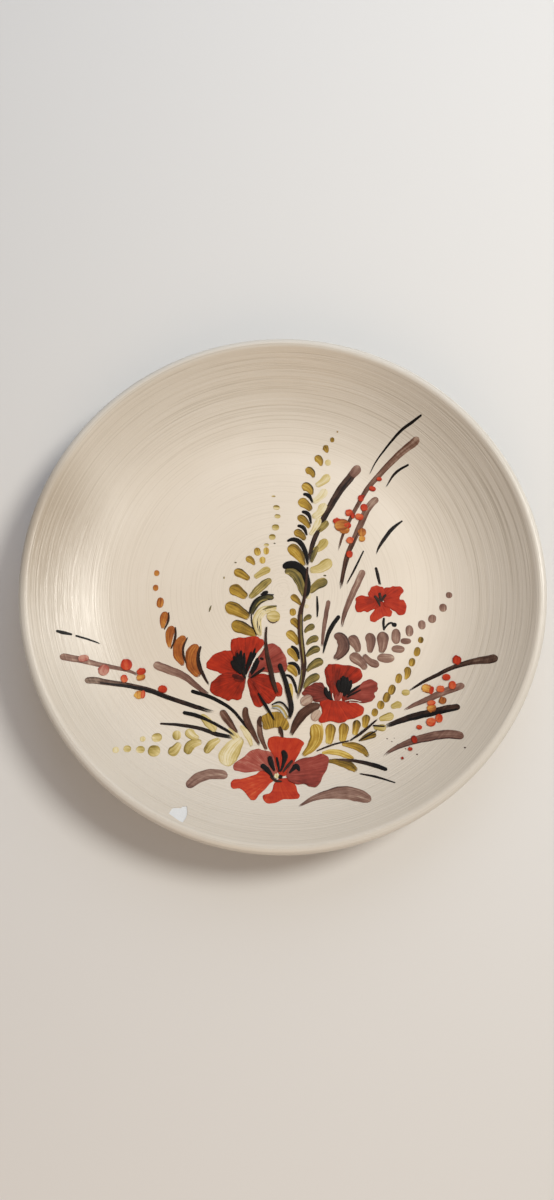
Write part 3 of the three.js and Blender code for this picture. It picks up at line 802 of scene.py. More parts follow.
def poppy_left():
    laid("poppy_left_red_petals", "red_paint",
         ["poppy_left_petal_top", "poppy_left_petal_left", "poppy_left_petal_lower_left",
          "poppy_left_petal_lower_right"], [
             petal([(-29, -37), (-32, -36.6), (-36, -37.8), (-42, -42.5), (-43.4, -46), (-42.5, -47.5),
                    (-38, -49), (-35, -50.3), (-27, -50.6), (-20.6, -51.6), (-24, -43)], (-33, -44.5), LEFT,
                    0.52, 0.3),
             petal([(-33, -50.3), (-38, -54), (-40.5, -57.5), (-39.8, -61.5), (-36, -63.5), (-33, -64.7),
                    (-30, -66), (-27, -65), (-23, -65.5), (-21.5, -62), (-20.3, -55), (-20, -51.8),
                    (-25, -50)], (-30, -57.5), LEFT, 0.4, 0.3, layer=1),
             petal([(-18.6, -53), (-17.4, -61), (-15.5, -66), (-12.5, -69.5), (-8, -67.5), (-5, -66.5),
                    (-2.5, -64), (-1.5, -62), (-3, -57), (-5.5, -51), (-8, -50), (-14, -50.6)], (-11, -59),
                    LEFT, 0.4, 0.3),
             petal([(-29.5, -32), (-28.5, -30), (-25, -28.8), (-20, -28.6), (-15, -27.8), (-12, -29),
                    (-10, -30.5), (-10.5, -33.5), (-14, -38), (-18.6, -50), (-21, -50.6), (-27, -41)],
                   (-20, -35.5), LEFT, 0.5, 0.25, layer=1),
             stroke([(-2.4, -54.5), (-1, -58.5), (0, -63)], [4, 5.2, 3.6], 0.5, layer=0),
         ])
    laid("poppy_left_mauve_petal", "mauve_red_paint", ["poppy_left_petal_right"], [
        petal([(-8, -32.5), (-3, -32.3), (0, -35), (3, -40), (4, -44), (3.5, -47.5), (0, -48.7), (-5, -49),
               (-9, -48.5), (-14, -50), (-18.4, -52), (-14.6, -43), (-10.5, -36)], (-5, -42), LEFT, 0.55,
               0.42, layer=2),
    ])
    laid("poppy_left_stamens", "black_paint", [], [
        stroke([(-28.6, -42.6), (-26.4, -46), (-22.5, -50.4)], [2.2, 3.4, 1.4], 0.2, layer=3),
        stroke([(-27.6, -40), (-25.4, -43.4), (-22, -49)], [1.6, 2.8, 1.2], 0.12, layer=3),
        stroke([(-25.6, -37.8), (-24.6, -41.5), (-21.8, -48)], [1.3, 2.4, 1], 0.15, layer=3),
        stroke([(-23.2, -36.4), (-23.2, -40), (-21.6, -46), (-20.6, -52)], [1.4, 2.2, 2, 0.8], 0.1,
               layer=3),
        stroke([(-21.4, -37.8), (-21.2, -41), (-20.6, -46)], [1, 1.6, 0.8], 0.15, layer=3),
        stroke([(-17.2, -37), (-17.8, -41), (-19.4, -47), (-20, -51)], [1.3, 2.4, 2, 0.8], 0.1, layer=3),
        stroke([(-15, -35), (-16, -38.5), (-18, -43)], [1, 1.5, 0.8], 0.12, layer=3),
        stroke([(-14.3, -37.6), (-16, -41), (-18.6, -46.5)], [0.9, 1.3, 0.7], 0.15, layer=3),
        stroke([(-13.2, -40.6), (-15, -45), (-17.4, -50)], [1.5, 2.4, 1.2], 0.12, layer=3),
        stroke([(-12.4, -42), (-14.4, -46.5), (-17, -51)], [0.9, 1.8, 0.9], 0.2, layer=3),
        dab(-11, -41, 2.4, 1.5, 0.15, layer=3, turn=-20), dab(-13, -43.6, 1.2, 1, 0.2, layer=3),
        stroke([(-9, -46.2), (-12, -48.6), (-14.6, -50.6), (-17.4, -52.6)], [1.2, 1.8, 1.6, 0.8], 0.35,
               layer=3),
        stroke([(-22.6, -47), (-21.4, -50), (-20, -53)], [1.6, 2, 1], 0.3, layer=3),
    ])
    laid("poppy_left_shadows", "red_paint", [], [
        stroke([(-28, -51.2), (-25, -52), (-20.6, -53.6)], [1.8, 2.8, 1.4], 0.1, 0.05, layer=2),
        stroke([(-27, -53.4), (-24, -54), (-20.8, -54.4)], [1, 2, 1], 0.2, 0.1, layer=2),
        stroke([(-24.6, -36), (-24, -42), (-21.6, -48)], [4, 5, 2], 0.3, 0.1, layer=2),
        stroke([(-15.6, -55.4), (-13, -58.6), (-10.6, -62)], [0.8, 1.6, 0.8], 0.2, 0.3, layer=2),
    ])
    laid("poppy_left_pale_line", "cream_coat", [], [
        stroke([(-9.8, -34), (-12.4, -37.4), (-15.2, -41.4), (-17.4, -47), (-19.2, -51.6), (-19.6, -56)],
               [0.3, 0.4, 0.5, 0.6, 0.8, 0.5], 0.9, 0.7, layer=4),
        stroke([(-16.6, -45.6), (-18.2, -49.4), (-18.8, -52.4)], [0.2, 0.4, 0.3], 0.1, layer=5),
    ])


def poppy_right():
    laid("poppy_right_mauve_petals", "mauve_red_paint",
         ["poppy_right_petal_right", "poppy_right_petal_left"], [
        petal([(38, -60.5), (41, -58), (46, -55), (49, -52.5), (52, -51.3), (56, -53), (57, -55.5),
               (56.5, -58), (55, -59), (55.3, -62), (53, -64), (49, -65), (43, -64.7), (38, -63)],
               (48, -59.5), RIGHT, 0.5, 0.3, layer=1),
        petal([(24, -54), (26, -56), (28, -61), (29.5, -62.7), (24, -65.5), (20, -65), (17, -62.5),
               (13, -61), (14, -58.5), (18, -55.5), (22, -53.8)], (21.5, -60), RIGHT, 0.3, 0.2, layer=1),
    ])
    laid("poppy_right_pale_buds", "mauve_paint", [], [
        dab(15.8, -64.6, 7.4, 6, 0.9, 0.98, 0.1, 2, turn=35),
        dab(21.4, -73, 5.4, 7, 1.05, 1.0, layer=1, turn=-30),
    ])
    laid("poppy_right_red_petals", "red_paint", ["poppy_right_petal_top", "poppy_right_petal_bottom"], [
        petal([(26.5, -45), (28, -43.3), (31, -43), (38, -43.2), (43, -44), (47.5, -47), (47.5, -51),
               (44, -53.5), (40, -55.5), (35, -60), (31, -58.5), (28.5, -57), (26.5, -52)], (36, -50.5),
               RIGHT, 0.42, 0.12),
        stroke([(30, -53), (31.4, -58), (32.6, -64)], [3, 5.4, 6], 0.3, 0.2, layer=1),
        stroke([(38, -60), (38.4, -62.6), (38, -66)], [3, 5, 4], 0.3, 0.35, layer=0),
        petal([(23.5, -66), (27, -63.8), (32, -64), (40, -65), (46, -65.8), (49, -68.5), (48, -71.5),
               (44, -74), (39, -75.5), (37, -76.7), (30, -76.3), (23, -76.3), (24.3, -73), (24.7, -70)],
               (35, -70), RIGHT, 0.52, 0.4, layer=2),
    ])
    laid("poppy_right_stamens", "black_paint", [], [
        stroke([(36.8, -49.6), (36.8, -54), (36.4, -60)], [1.2, 4.6, 2.6], 0.1, layer=3),
        stroke([(34.2, -52), (34.2, -55.6), (35, -59.4)], [1.4, 3.2, 1.6], 0.12, layer=3),
        stroke([(39.2, -50.4), (38.8, -55), (37.4, -61.8)], [1, 4, 1.8], 0.1, layer=3),
        stroke([(41.4, -52), (40.6, -55.6), (38.8, -60.4)], [1.2, 3, 1.4], 0.12, layer=3),
        stroke([(38, -50.2), (38, -53)], [0.6, 1.2], 0.15, layer=3),
        stroke([(35.4, -50.8), (35.6, -54)], [0.6, 1.2], 0.15, layer=3),
        stroke([(26.6, -56.6), (27, -59.6), (28.6, -62.6), (30.8, -64)], [1.6, 2.8, 2, 0.9], 0.12, layer=3),
        stroke([(28.8, -58.6), (29.2, -61), (30, -63.4)], [0.9, 1.4, 0.7], 0.2, layer=3),
        stroke([(46.6, -55), (43, -57.6), (39, -60.8)], [0.8, 1.6, 1.4], 0.15, layer=3),
        stroke([(47.2, -57.6), (43, -59.8), (38.6, -62.2)], [0.6, 1.3, 0.9], 0.22, layer=3),
    ])
    laid("poppy_right_blush", "mauve_red_paint", [], [
        stroke([(36, -58.6), (35.4, -61.4), (33.6, -64.6)], [1, 2, 1.6], 0.75, 0.55, layer=3),
        stroke([(33.6, -60), (33, -62.4), (31.6, -64.8)], [1, 2.4, 1.6], 0.6, 0.5, layer=2),
    ])
    laid("poppy_right_white_lines", "cream_coat", [], [
        stroke([(30.6, -60), (31, -62.6), (31.8, -64.4)], [0.3, 0.6, 0.3], 0.8, layer=4),
        stroke([(38, -64.4), (42, -63.6), (47.6, -64.6)], [0.3, 0.5, 0.3], 0.8, layer=4),
    ])


def poppy_small():
    laid("poppy_small_petals", "red_paint", ["poppy_small_petals"], [
        petal([(51, -1.5), (52, 2), (54, 4.5), (57, 4.6), (60, 3), (60, -1), (57.5, -3), (53, -3)],
              (56, 0.5), SMALL, 0.6, 0.3, layer=1),
        petal([(60, 3), (64, 4), (67, 4.7), (71, 4), (71.7, 1.5), (70, -1), (69.5, -3.2), (64, -4.5),
               (59, -4), (58.5, 0)], (65, 0), SMALL, 0.55, 0.35),
        petal([(69.5, -3.2), (72, -4), (73.5, -6.5), (73, -11), (70, -12.8), (67, -11), (64, -9),
               (60, -6.5), (61, -4)], (67.5, -7), SMALL, 0.55, 0.4, layer=1),
        petal([(64, -9), (65, -11), (64.5, -13.5), (60, -14), (57, -16), (53.5, -17.5), (52, -15.5),
               (53, -12.5), (56, -8), (58, -5), (61, -5.5)], (58.5, -11), SMALL, 0.62, 0.4),
        petal([(55.5, -9.5), (53, -10), (51, -11.4), (48, -11.2), (46, -11.7), (43.5, -10.3), (43.6, -6),
               (44, -3), (47, -1.5), (51, -2), (56, -3), (58.5, -5)], (49.5, -6.2), SMALL, 0.55, 0.35,
               layer=1),
    ])
    laid("poppy_small_middle", "black_paint", [], [
        stroke([(54.5, -1.5), (56.5, -4), (58, -8)], [1.6, 2, 0.9], 0.5, layer=2),
        stroke([(57.5, 0.5), (58, -2), (58.5, -5)], [1.5, 1.8, 0.9], 0.45, layer=2),
        stroke([(61.5, -0.5), (60, -2.5), (59, -5)], [1.3, 1.5, 0.8], 0.5, layer=2),
        stroke([(55.3, 16), (56.6, 11), (58, 5)], [1.6, 2, 1.4], 0.25, 0.4),
        stroke([(60.3, -14.5), (60.1, -18), (60.4, -22.4)], [1.3, 1.6, 1.1], 0.25),
        stroke([(60.4, -21.6), (62, -19.2), (64.2, -17.6), (66, -18)], [0.9, 1.1, 1.3, 1.2], 0.15),
        dab(66.4, -18.6, 3, 2.6, 0.1),
    ])


# ----------------------------------------------------------- reeds and grasses


def reeds():
    laid("reeds_black", "black_paint",
         ["reed_black_tip", "reed_dark_thick", "reed_black_curved", "reed_black_thin", "reed_dark_low"], [
             stroke([(80.5, 106.5), (75, 103), (70, 100), (65, 95), (60, 89), (55, 82), (51, 74)],
                    [1.3, 1.9, 1.8, 1.5, 1.2, 0.9, 0.5], 0.15, 0.3),
             stroke([(44, 78.5), (38, 70), (33, 63), (27, 52), (23, 44), (19, 34), (17, 28), (15, 17)],
                    [4.6, 5, 4.6, 4, 3.4, 3, 2.8, 1.4], 0.72, 0.5, 0.14),
             stroke([(41, 73), (36, 66), (29, 54), (23, 42.5)], [0.6, 1.6, 1.8, 1], 0.45, 0.4, layer=1),
             stroke([(74.5, 79.7), (67, 75), (61, 66)], [1.3, 1.7, 0.5], 0.2, 0.35),
             stroke([(71.3, 45.3), (65, 40), (60, 33), (57, 28), (55.5, 24)], [1, 2.3, 2.2, 1.4, 0.5], 0.15,
                    0.35),
             stroke([(48, 26), (43, 15), (38, 5)], [0.9, 1.3, 0.7], 0.25, 0.45),
             stroke([(20.5, -2.5), (21, -9), (21, -16)], [0.9, 1.6, 0.8], 0.2, 0.3),
             stroke([(34, -14), (29, -22), (26, -31), (24.8, -37)], [2.3, 2.6, 1.8, 0.7], 0.2, 0.3,
                    layer=1),
         ])
    laid("reeds_brown", "brown_paint", ["reed_brown_long", "reed_brown_middle"], [
        stroke([(79.4, 94.6), (77, 92), (70, 87), (60, 77), (50, 65), (45, 56), (40, 46), (36, 37),
                (32.5, 25)], [5, 5, 4.2, 3.6, 3, 2.6, 2.2, 1.8, 1], 0.85, 0.55, -0.1),
        stroke([(56, 59.5), (50, 52), (46, 42), (41, 30), (38, 22), (35, 6), (34.3, 2)],
               [4.2, 4.4, 3.8, 3.2, 2.8, 2.2, 1.4], 0.92, 0.35, 0.1),
        stroke([(45, 38), (41.4, 29.6), (38.5, 20), (36, 9)], [0.5, 1.4, 1.6, 0.7], 0.3, 0.3, layer=1),
    ])
    laid("reeds_mauve", "mauve_paint", ["reed_mauve", "reed_mauve_thin"], [
        stroke([(48, 14), (42, 0), (37, -13), (35.5, -21)], [4, 3.8, 2.8, 1.2], 0.8, 0.5, 0.1),
        stroke([(27.6, -5), (25.5, -18), (24, -33)], [2.6, 2.6, 1.4], 0.62, 0.5),
        stroke([(44.8, 79.2), (42.6, 76), (39.6, 72)], [5, 5.6, 4], 0.78, 0.5, layer=1, dry=0.9),
    ])


def left_grasses():
    laid("left_grasses_mauve", "mauve_paint", ["grass_faded", "grass_mauve"], [
        stroke([(-125, -45), (-115, -46), (-107, -47.5), (-95, -49.3), (-88, -50.5), (-82, -53)],
               [4.2, 3.8, 3, 2.4, 1.9, 1.3], 0.75, 0.55, 0.08),
        stroke([(-74, -46), (-65, -49), (-55, -53), (-47, -59), (-41, -63)], [4.8, 4.8, 4, 3, 1.5], 0.85,
               0.42, 0.12),
    ])
    laid("left_grasses_black", "black_paint",
         ["grass_dark_long", "grass_black_upper", "grass_black_lower", "grass_grey"], [
             stroke([(-128.5, -30.5), (-125, -31), (-120, -31.7)], [1.4, 2.2, 1.2], 0.2),
             stroke([(-118.5, -32), (-110, -34), (-104.5, -35.7)], [1.2, 1.1, 0.6], 0.2, 0.4),
             stroke([(-111, -57.8), (-105, -57.5), (-100, -58), (-85, -59.5), (-75, -61.5), (-65, -65),
                     (-50, -69.5), (-36, -73.5)], [3.8, 4, 3.4, 3, 2.9, 2.7, 2.6, 2.2], 0.95, 0.3, 0.06,
                     dry=0.85),
             stroke([(-103, -58.6), (-85, -60), (-75, -62), (-60, -66.8)], [0.8, 1.9, 2, 1.4], 0.35, 0.2,
                    layer=1),
             stroke([(-51.5, -61), (-42, -63.5), (-33, -67.5), (-28, -70.5), (-20, -79), (-10, -90.5)],
                    [2.2, 2.3, 2.1, 1.9, 1.7, 1], 0.15, 0.3),
             stroke([(-55.5, -73.5), (-48, -75), (-40, -78), (-30, -83), (-25, -86)],
                    [2, 2.4, 1.8, 1.6, 0.9], 0.12, 0.3, layer=1),
             stroke([(-68, -80.5), (-55, -81), (-43, -83), (-35, -85.5), (-26, -87)], [1.2, 2, 2.2, 2.6, 2],
                    0.45, 0.3),
         ])
    laid("left_leaves_brown", "brown_paint", ["leaf_brown_upper", "leaf_brown_lower"], [
        stroke([(-33.6, -71.8), (-30.8, -75.4), (-27.6, -79.4), (-23.4, -84.4)], [3.6, 4.4, 3.6, 1], 0.66,
               0.6, 0.2, 2),
        stroke([(-19.4, -69.4), (-19.2, -74), (-17.4, -79), (-14, -85), (-10.6, -91)],
               [2.8, 3.8, 3.8, 2.8, 1.2], 0.62, 0.55, 0.2, 2),
        stroke([(-11.4, -76), (-10.6, -84), (-6.4, -94)], [2.6, 3.2, 1.6], 0.8, 0.6, 0.2, 1),
    ])
    laid("left_leaf_pale", "pale_paint", [], [
        stroke([(-45, -74.6), (-40.5, -79), (-36, -84)], [3.4, 5, 3.4], 0.4, 0.75, start_dry=0.3),
        stroke([(-29, -82), (-25, -86), (-21, -91)], [2, 4.4, 2], 0.85, 0.7, start_dry=0.4),
        stroke([(-22, -80), (-18, -85), (-15, -92)], [2, 3.6, 1.6], 0.95, 0.8, start_dry=0.4),
    ])


def right_blades():
    laid("right_blades_mauve", "mauve_paint", ["blade_mauve_upper", "blade_mauve_lower"], [
        stroke([(105.5, -54), (98, -56.5), (88, -61), (78, -65.5), (72, -68.7)], [3.8, 4.2, 3.6, 2.4, 1],
               0.72, 0.5, 0.12),
        stroke([(103, -84), (99, -82.6), (95, -82.5), (85, -84), (75, -87), (65, -91.5), (59.5, -95.5)],
               [4.2, 5, 5, 5, 3.8, 2.2, 0.8], 0.58, 0.45, 0.2),
    ])
    laid("right_blades_black", "black_paint", ["blade_dark_long", "blade_black_thick", "blade_black_short"],
         [
        stroke([(123.5, -38.5), (118, -39.5), (110, -40.5), (100, -43.5), (90, -48.5), (85, -51),
                (74, -58)], [5.2, 4.8, 3.4, 2.5, 2.2, 2, 0.8], 0.82, 0.35, 0.12),
        stroke([(102.5, -66.5), (95, -68), (85, -70.5), (75, -73), (61, -78.5)], [3.6, 4.2, 4.2, 3.8, 2.2],
               0.6, 0.4, 0.12),
        stroke([(101, -68), (88, -70.8), (74, -74.6)], [1.2, 2, 1.6], 0.2, 0.25, layer=1),
        stroke([(61.5, -103), (56, -101), (50, -99.5), (40, -98), (33, -98)], [2, 2.5, 2.2, 1.6, 1], 0.15,
               0.75, layer=1),
        stroke([(65.5, -110), (55, -107), (46, -105.5)], [0.7, 1.4, 0.8], 0.2, 0.4),
    ])


def low_strokes():
    laid("low_mauve_strokes", "mauve_paint", ["low_mauve_short", "low_mauve_long"], [
        stroke([(-50, -115.5), (-45, -110.8), (-38, -108.3), (-31, -108.2), (-28, -109)],
               [4.6, 6, 5.8, 5.2, 3.6], 0.6, 0.8, -0.1, dry=0.3),
        stroke([(52, -119.8), (48, -118.2), (43, -116.8), (35, -116.3), (27, -117.6), (20, -120),
                (12, -124.5)], [3.4, 6.4, 7.4, 7, 4.4, 2.8, 0.8], 0.76, 0.6, -0.1),
    ])


# ------------------------------------------------------------------- the ferns


def tall_fern():
    laid("tall_fern_leaves", "ochre_paint", ["leaf_fern_upper"], [
        dab(31, 100, 1, 1, 0.5), dab(28, 95.2, 2.6, 3, 0.4, 0.7),
        leaf((23, 91.6), (25, 87), 4, 0.4, 0.7, 0.15, bend=0.1),
        leaf((17.6, 84.6), (21.6, 78.6), 5, 0.55, 0.8, 0.3, bend=0.16),
        leaf((12, 76.4), (17.2, 71), 5, 0.75, 0.5, 0.36, bend=0.18),
        leaf((10, 66), (16.4, 60), 6, 0.78, 0.55, 0.4, bend=0.18),
        leaf((8, 56), (16, 50), 6.2, 0.8, 0.6, 0.3, bend=0.12, point=0.5),
        leaf((8, 46.4), (15.4, 39), 4.8, 0.55, 0.5, 0.25, bend=0.1, point=0.45),
        leaf((6, 36.8), (13, 31.6), 5.2, 0.6, 0.5, 0.25, bend=0.1, point=0.45),
        stroke([(2.4, 26.6), (6, 25.4), (9.6, 21.4), (13, 15.6)], [5.6, 7.4, 6, 1.6], 0.8, 0.7, 0.6),
        leaf((5, -3), (11, -8.4), 4.2, 0.75, 0.5, 0.3, bend=0.1), dab(6.5, -12.7, 3.9, 4.4, 0.55, 0.8),
        leaf((5.4, -17), (10.4, -23), 4.6, 0.7, 0.4, 0.15, bend=0.1),
        leaf((3, -25), (10, -32.4), 5.4, 0.8, 0.55, 0.35, bend=0.12),
        leaf((4, -35), (9.8, -42.2), 5, 0.8, 0.5, bend=0.1),
        leaf((4, -44.8), (9.8, -51), 4.8, 0.75, 0.45, bend=0.1),
        stroke([(6, -55), (6.2, -60), (7, -65)], [2.4, 3.4, 1.4], 0.9),
    ])
    laid("tall_fern_pale_leaves", "pale_paint", [], [
        dab(25.7, 81, 3.6, 3.8, 0.85, 0.95, 0.15),
        leaf((26.2, 73.4), (18.4, 66), 5.2, 0.75, 0.8, -0.1, bend=0.1, point=0.6),
        leaf((24.6, 64), (16.6, 55.6), 5, 0.98, 0.95, bend=0.1, point=0.7),
        leaf((24.4, 55), (16.8, 45.6), 5.6, 0.92, 0.9, bend=0.1, point=0.6),
        leaf((21.4, 45.6), (15.6, 34.6), 4.4, 0.9, 0.9, bend=0.06, point=0.5),
        leaf((25.4, 32.6), (17.6, 25), 5.6, 0.5, 0.55, -0.15, bend=0.12, point=0.5),
        leaf((28.4, 19.8), (15.8, 12.6), 6.8, 0.62, 0.7, -0.3, bend=0.1, point=0.5),
        dab(15.5, -3, 2.8, 3, 0.9), dab(14.5, -9, 2.2, 2.4, 0.9), dab(15.6, -0.6, 2, 3, 0.95),
    ])
    laid("tall_fern_olive_leaves", "olive_paint", ["leaf_fern_great"], [
        stroke([(1, 12), (5.5, 11.6), (9.6, 7.2), (11.6, 1.5), (12.8, -3.6)], [3.2, 5.8, 6, 4.8, 1.6], 0.5,
               0.55, -0.2),
        stroke([(1.4, 10.8), (5, 9.8), (8.4, 5.6), (10.2, 0)], [0.5, 1.2, 1.4, 0.5], 0.9, layer=1),
        leaf((26, 44), (17.6, 35.6), 4.6, 0.62, 0.7, bend=0.06),
        stroke([(20.4, 27.8), (18.4, 23), (16.6, 17.6)], [2, 3, 1.4], 0.5, 0.4, layer=1),
        leaf((26.6, 6.8), (15.6, -0.6), 6, 0.55, 0.75, 0.14, bend=-0.08, point=0.6),
        leaf((17.6, -14.6), (12.9, -18.2), 3.4, 0.5, 0.6, -0.2, bend=-0.1),
        leaf((19.6, -20.6), (13.6, -25), 4, 0.55, 0.6, -0.3, bend=-0.12),
        leaf((22, -27.6), (14.8, -32.2), 4.4, 0.6, 0.6, -0.3, bend=-0.12),
        leaf((23, -34), (14.8, -39.2), 4.6, 0.55, 0.6, -0.3, bend=-0.12),
        leaf((25, -41.4), (15.3, -48), 5.2, 0.62, 0.6, -0.3, bend=-0.12),
        leaf((23, -50), (13.8, -58), 5, 0.55, 0.6, -0.2, bend=-0.12),
    ])
    laid("tall_fern_dark_arcs", "black_paint", [], [
        stroke([(11, 60.7), (14.2, 59.6), (17, 55)], [1.6, 2.5, 1], 0.12, layer=1),
        stroke([(10.4, 49.4), (13.8, 48.4), (16.4, 41.6)], [1.6, 2.6, 1], 0.14, layer=1),
        stroke([(8, 40.6), (11.4, 39.4), (14, 34.4)], [1.5, 2.5, 1], 0.14, layer=1),
        stroke([(2, 30.6), (6, 31.8), (10, 29.8), (13.2, 24), (14.7, 15.6)], [1.2, 2.6, 3, 2.6, 1.1], 0.12,
               0.2, layer=1),
        stroke([(0, 14), (3, 15.9), (7, 16), (11, 13.6), (14, 8), (15, 0), (13, -5)],
               [3, 4.6, 4.8, 4.6, 4, 3, 1.2], 0.1, 0.2, layer=1),
        stroke([(6, -33), (8.8, -35), (11, -41)], [1.4, 2.5, 0.9], 0.25, layer=1),
        stroke([(4.3, -43.2), (8, -43.5), (10.6, -46), (11, -50)], [1.2, 2.2, 2, 0.9], 0.2, layer=1),
        stroke([(3, -50), (6, -51), (8.5, -55), (10, -61)], [1, 1.8, 1.8, 0.9], 0.25, layer=1),
    ])
    laid("tall_fern_spine", "brown_paint", ["fern_spine"], [
        stroke([(14.6, 15), (14, 5), (13, -5), (11.3, -12), (11, -20), (12.3, -33), (13.8, -45),
                (12.8, -53), (10.5, -64)], [1.2, 1.6, 1.8, 2.8, 3.1, 3.1, 3.1, 2.8, 1.6], 0.3, 0.35, 0.2,
                3),
    ])
    laid("tall_fern_spine_light", "olive_paint", [], [
        stroke([(11.4, -14), (11.6, -24), (12.9, -36), (13.8, -44)], [0.5, 1.1, 1, 0.4], 0.55, 0.65,
               layer=4),
        stroke([(12.6, -47), (12, -54), (10.6, -61)], [0.4, 1, 0.5], 0.6, layer=4),
    ])


def side_fern():
    laid("side_fern_leaves", "ochre_paint", ["leaf_side_low", "leaf_side_middle", "leaf_side_high"], [
        leaf((-29, 11.6), (-19.6, 6.4), 5.6, 0.72, 0.6, 0.32, bend=0.02, point=0.5),
        leaf((-31.4, 1.2), (-20.8, -4.6), 7.4, 0.7, 0.55, 0.42, bend=0.03, point=0.55),
        leaf((-33.4, -9.4), (-19, -17), 8, 0.72, 0.55, 0.42, 1, bend=0.03, point=0.5),
        leaf((-29.4, -20.6), (-14, -27.4), 7.8, 0.66, 0.5, 0.42, bend=0.03, point=0.4),
        leaf((-22.4, 19.6), (-17, 15.2), 4.4, 0.72, 0.6, 0.25), dab(-10.4, 24.2, 3.4, 4.4, 0.8, 0.9),
        dab(-15.6, 23.6, 4, 5, 0.5, 0.85, turn=20), dab(-12.4, 18.4, 3.6, 4.2, 0.85, 0.95),
    ])
    laid("side_fern_pale_dabs", "pale_paint", [], [
        dab(-7, 58.6, 2.4, 1.1, 0.15, 0.8), dab(-5, 51.5, 4, 3, 0.6, 0.85, -1.2),
        dab(-4.2, 46, 3.6, 2.6, 0.7, 0.9, -1.1), dab(-5.2, 39, 4.4, 3.8, 0.5, 0.75, -1.1),
        dab(-7, 33, 4, 3.6, 0.5, 0.75, -1.1), dab(-10.4, 27.9, 3, 2, 0.6, 0.85, -1.0),
        dab(-4.9, -15.6, 7.8, 7, 0.5, 0.75, layer=1),
        stroke([(-3.2, -10.6), (-8, -11.4), (-12.4, -13.6), (-14.6, -19), (-13.4, -24), (-12.3, -28)],
               [2.4, 4.6, 5.2, 5.2, 4, 1.6], 0.9, 0.8, layer=1),
        leaf((-7.6, 13.2), (-17, 7.4), 4.6, 0.45, 0.5, bend=-0.05, point=0.6),
    ])
    laid("side_fern_olive_leaves", "olive_paint", [], [
        stroke([(-7, 7), (-11, 3.6), (-15.4, -0.6), (-19.6, -5)], [3.2, 5, 4.6, 2.6], 0.62, 0.85, -0.2),
        stroke([(-5, -4.2), (-10.4, -4.6), (-15, -7.6), (-17.2, -11.6), (-17.8, -15.4)],
               [2.6, 4.2, 4.6, 4, 1.8], 0.3, 0.25, -0.2, 2),
        stroke([(-8.4, -5.6), (-12.4, -6.6), (-15.6, -10)], [0.5, 1, 0.5], 0.7, layer=3),
        stroke([(-3, -9.4), (-7, -10), (-11.6, -11.8)], [0.8, 1.6, 0.8], 0.4, 0.6, layer=2),
    ])
    laid("side_fern_dark_strokes", "black_paint", [], [
        dab(-10.2, -1.4, 3.8, 2.2, 0.25, layer=1, turn=18), dab(-12, -2.4, 2, 1.2, 0.4, layer=1),
        stroke([(-5, -2.6), (-9.6, -2.8), (-14.8, -5.2), (-17.6, -9.6), (-19.4, -14)],
               [0.5, 0.9, 1, 1, 0.5], 0.12, layer=3),
        stroke([(-8, -9.8), (-12.4, -11.6), (-15.6, -16), (-15.4, -23)], [0.3, 0.6, 0.7, 0.3], 0.3,
               layer=2),
        stroke([(-6.6, -12.2), (-10.6, -14), (-12.8, -18), (-12.4, -26)], [0.3, 0.6, 0.8, 0.4], 0.35,
               layer=2),
        stroke([(-9.4, -12), (-12.6, -14.6), (-14.2, -19), (-13.4, -25)], [0.3, 0.5, 0.6, 0.3], 0.45,
               layer=2),
        stroke([(-18, -14.6), (-17.4, -20), (-14.4, -27.5)], [0.6, 0.9, 0.5], 0.25, layer=2),
        stroke([(-8.6, -15.4), (-7.4, -18.4), (-4.4, -19.4), (-1.4, -17)], [0.3, 0.5, 0.6, 0.3], 0.6,
               layer=2),
    ])


def orange_spray():
    laid("orange_spray_leaves", "orange_paint", ["leaf_orange_brown"], [
        dab(-75.3, 8.7, 3.2, 3.6, 0.6, 0.8), dab(-75.3, -0.3, 3.3, 3.8, 0.5, 0.75),
        dab(-72.2, -9.2, 4.2, 6.2, 0.45, 0.7), leaf((-68.4, -14.6), (-69.8, -25), 5, 0.5, 0.62, bend=-0.06),
        leaf((-64.2, -23), (-65, -36.4), 5.2, 0.52, 0.62, bend=-0.08),
        stroke([(-56.6, -28.8), (-60, -34), (-60, -40), (-56.4, -46.4)], [3.6, 6, 5.8, 2], 0.58, 0.5, 0.12),
        stroke([(-49, -33.6), (-51.8, -39), (-51.4, -46), (-46.8, -52.6)], [4.4, 7.6, 7.2, 3.4], 0.6, 0.45,
               0.14),
    ])
    laid("orange_spray_dark_sides", "brown_paint", [], [
        stroke([(-66.8, -14.8), (-66.8, -20), (-69, -25.6)], [0.7, 1.3, 0.6], 0.25, layer=1),
        stroke([(-62.4, -23.6), (-62.2, -30), (-64.4, -37)], [0.8, 1.6, 0.6], 0.25, layer=1),
        stroke([(-55, -29.6), (-57.2, -36), (-56.6, -41), (-54, -46.6)], [0.7, 1.4, 1.3, 0.6], 0.2,
               layer=1),
        stroke([(-46.9, -34.6), (-48.4, -40), (-47.2, -46.6), (-44.4, -52), (-41, -57.4)],
               [1.2, 2.6, 2.6, 1.8, 0.9], 0.15, layer=1),
    ])


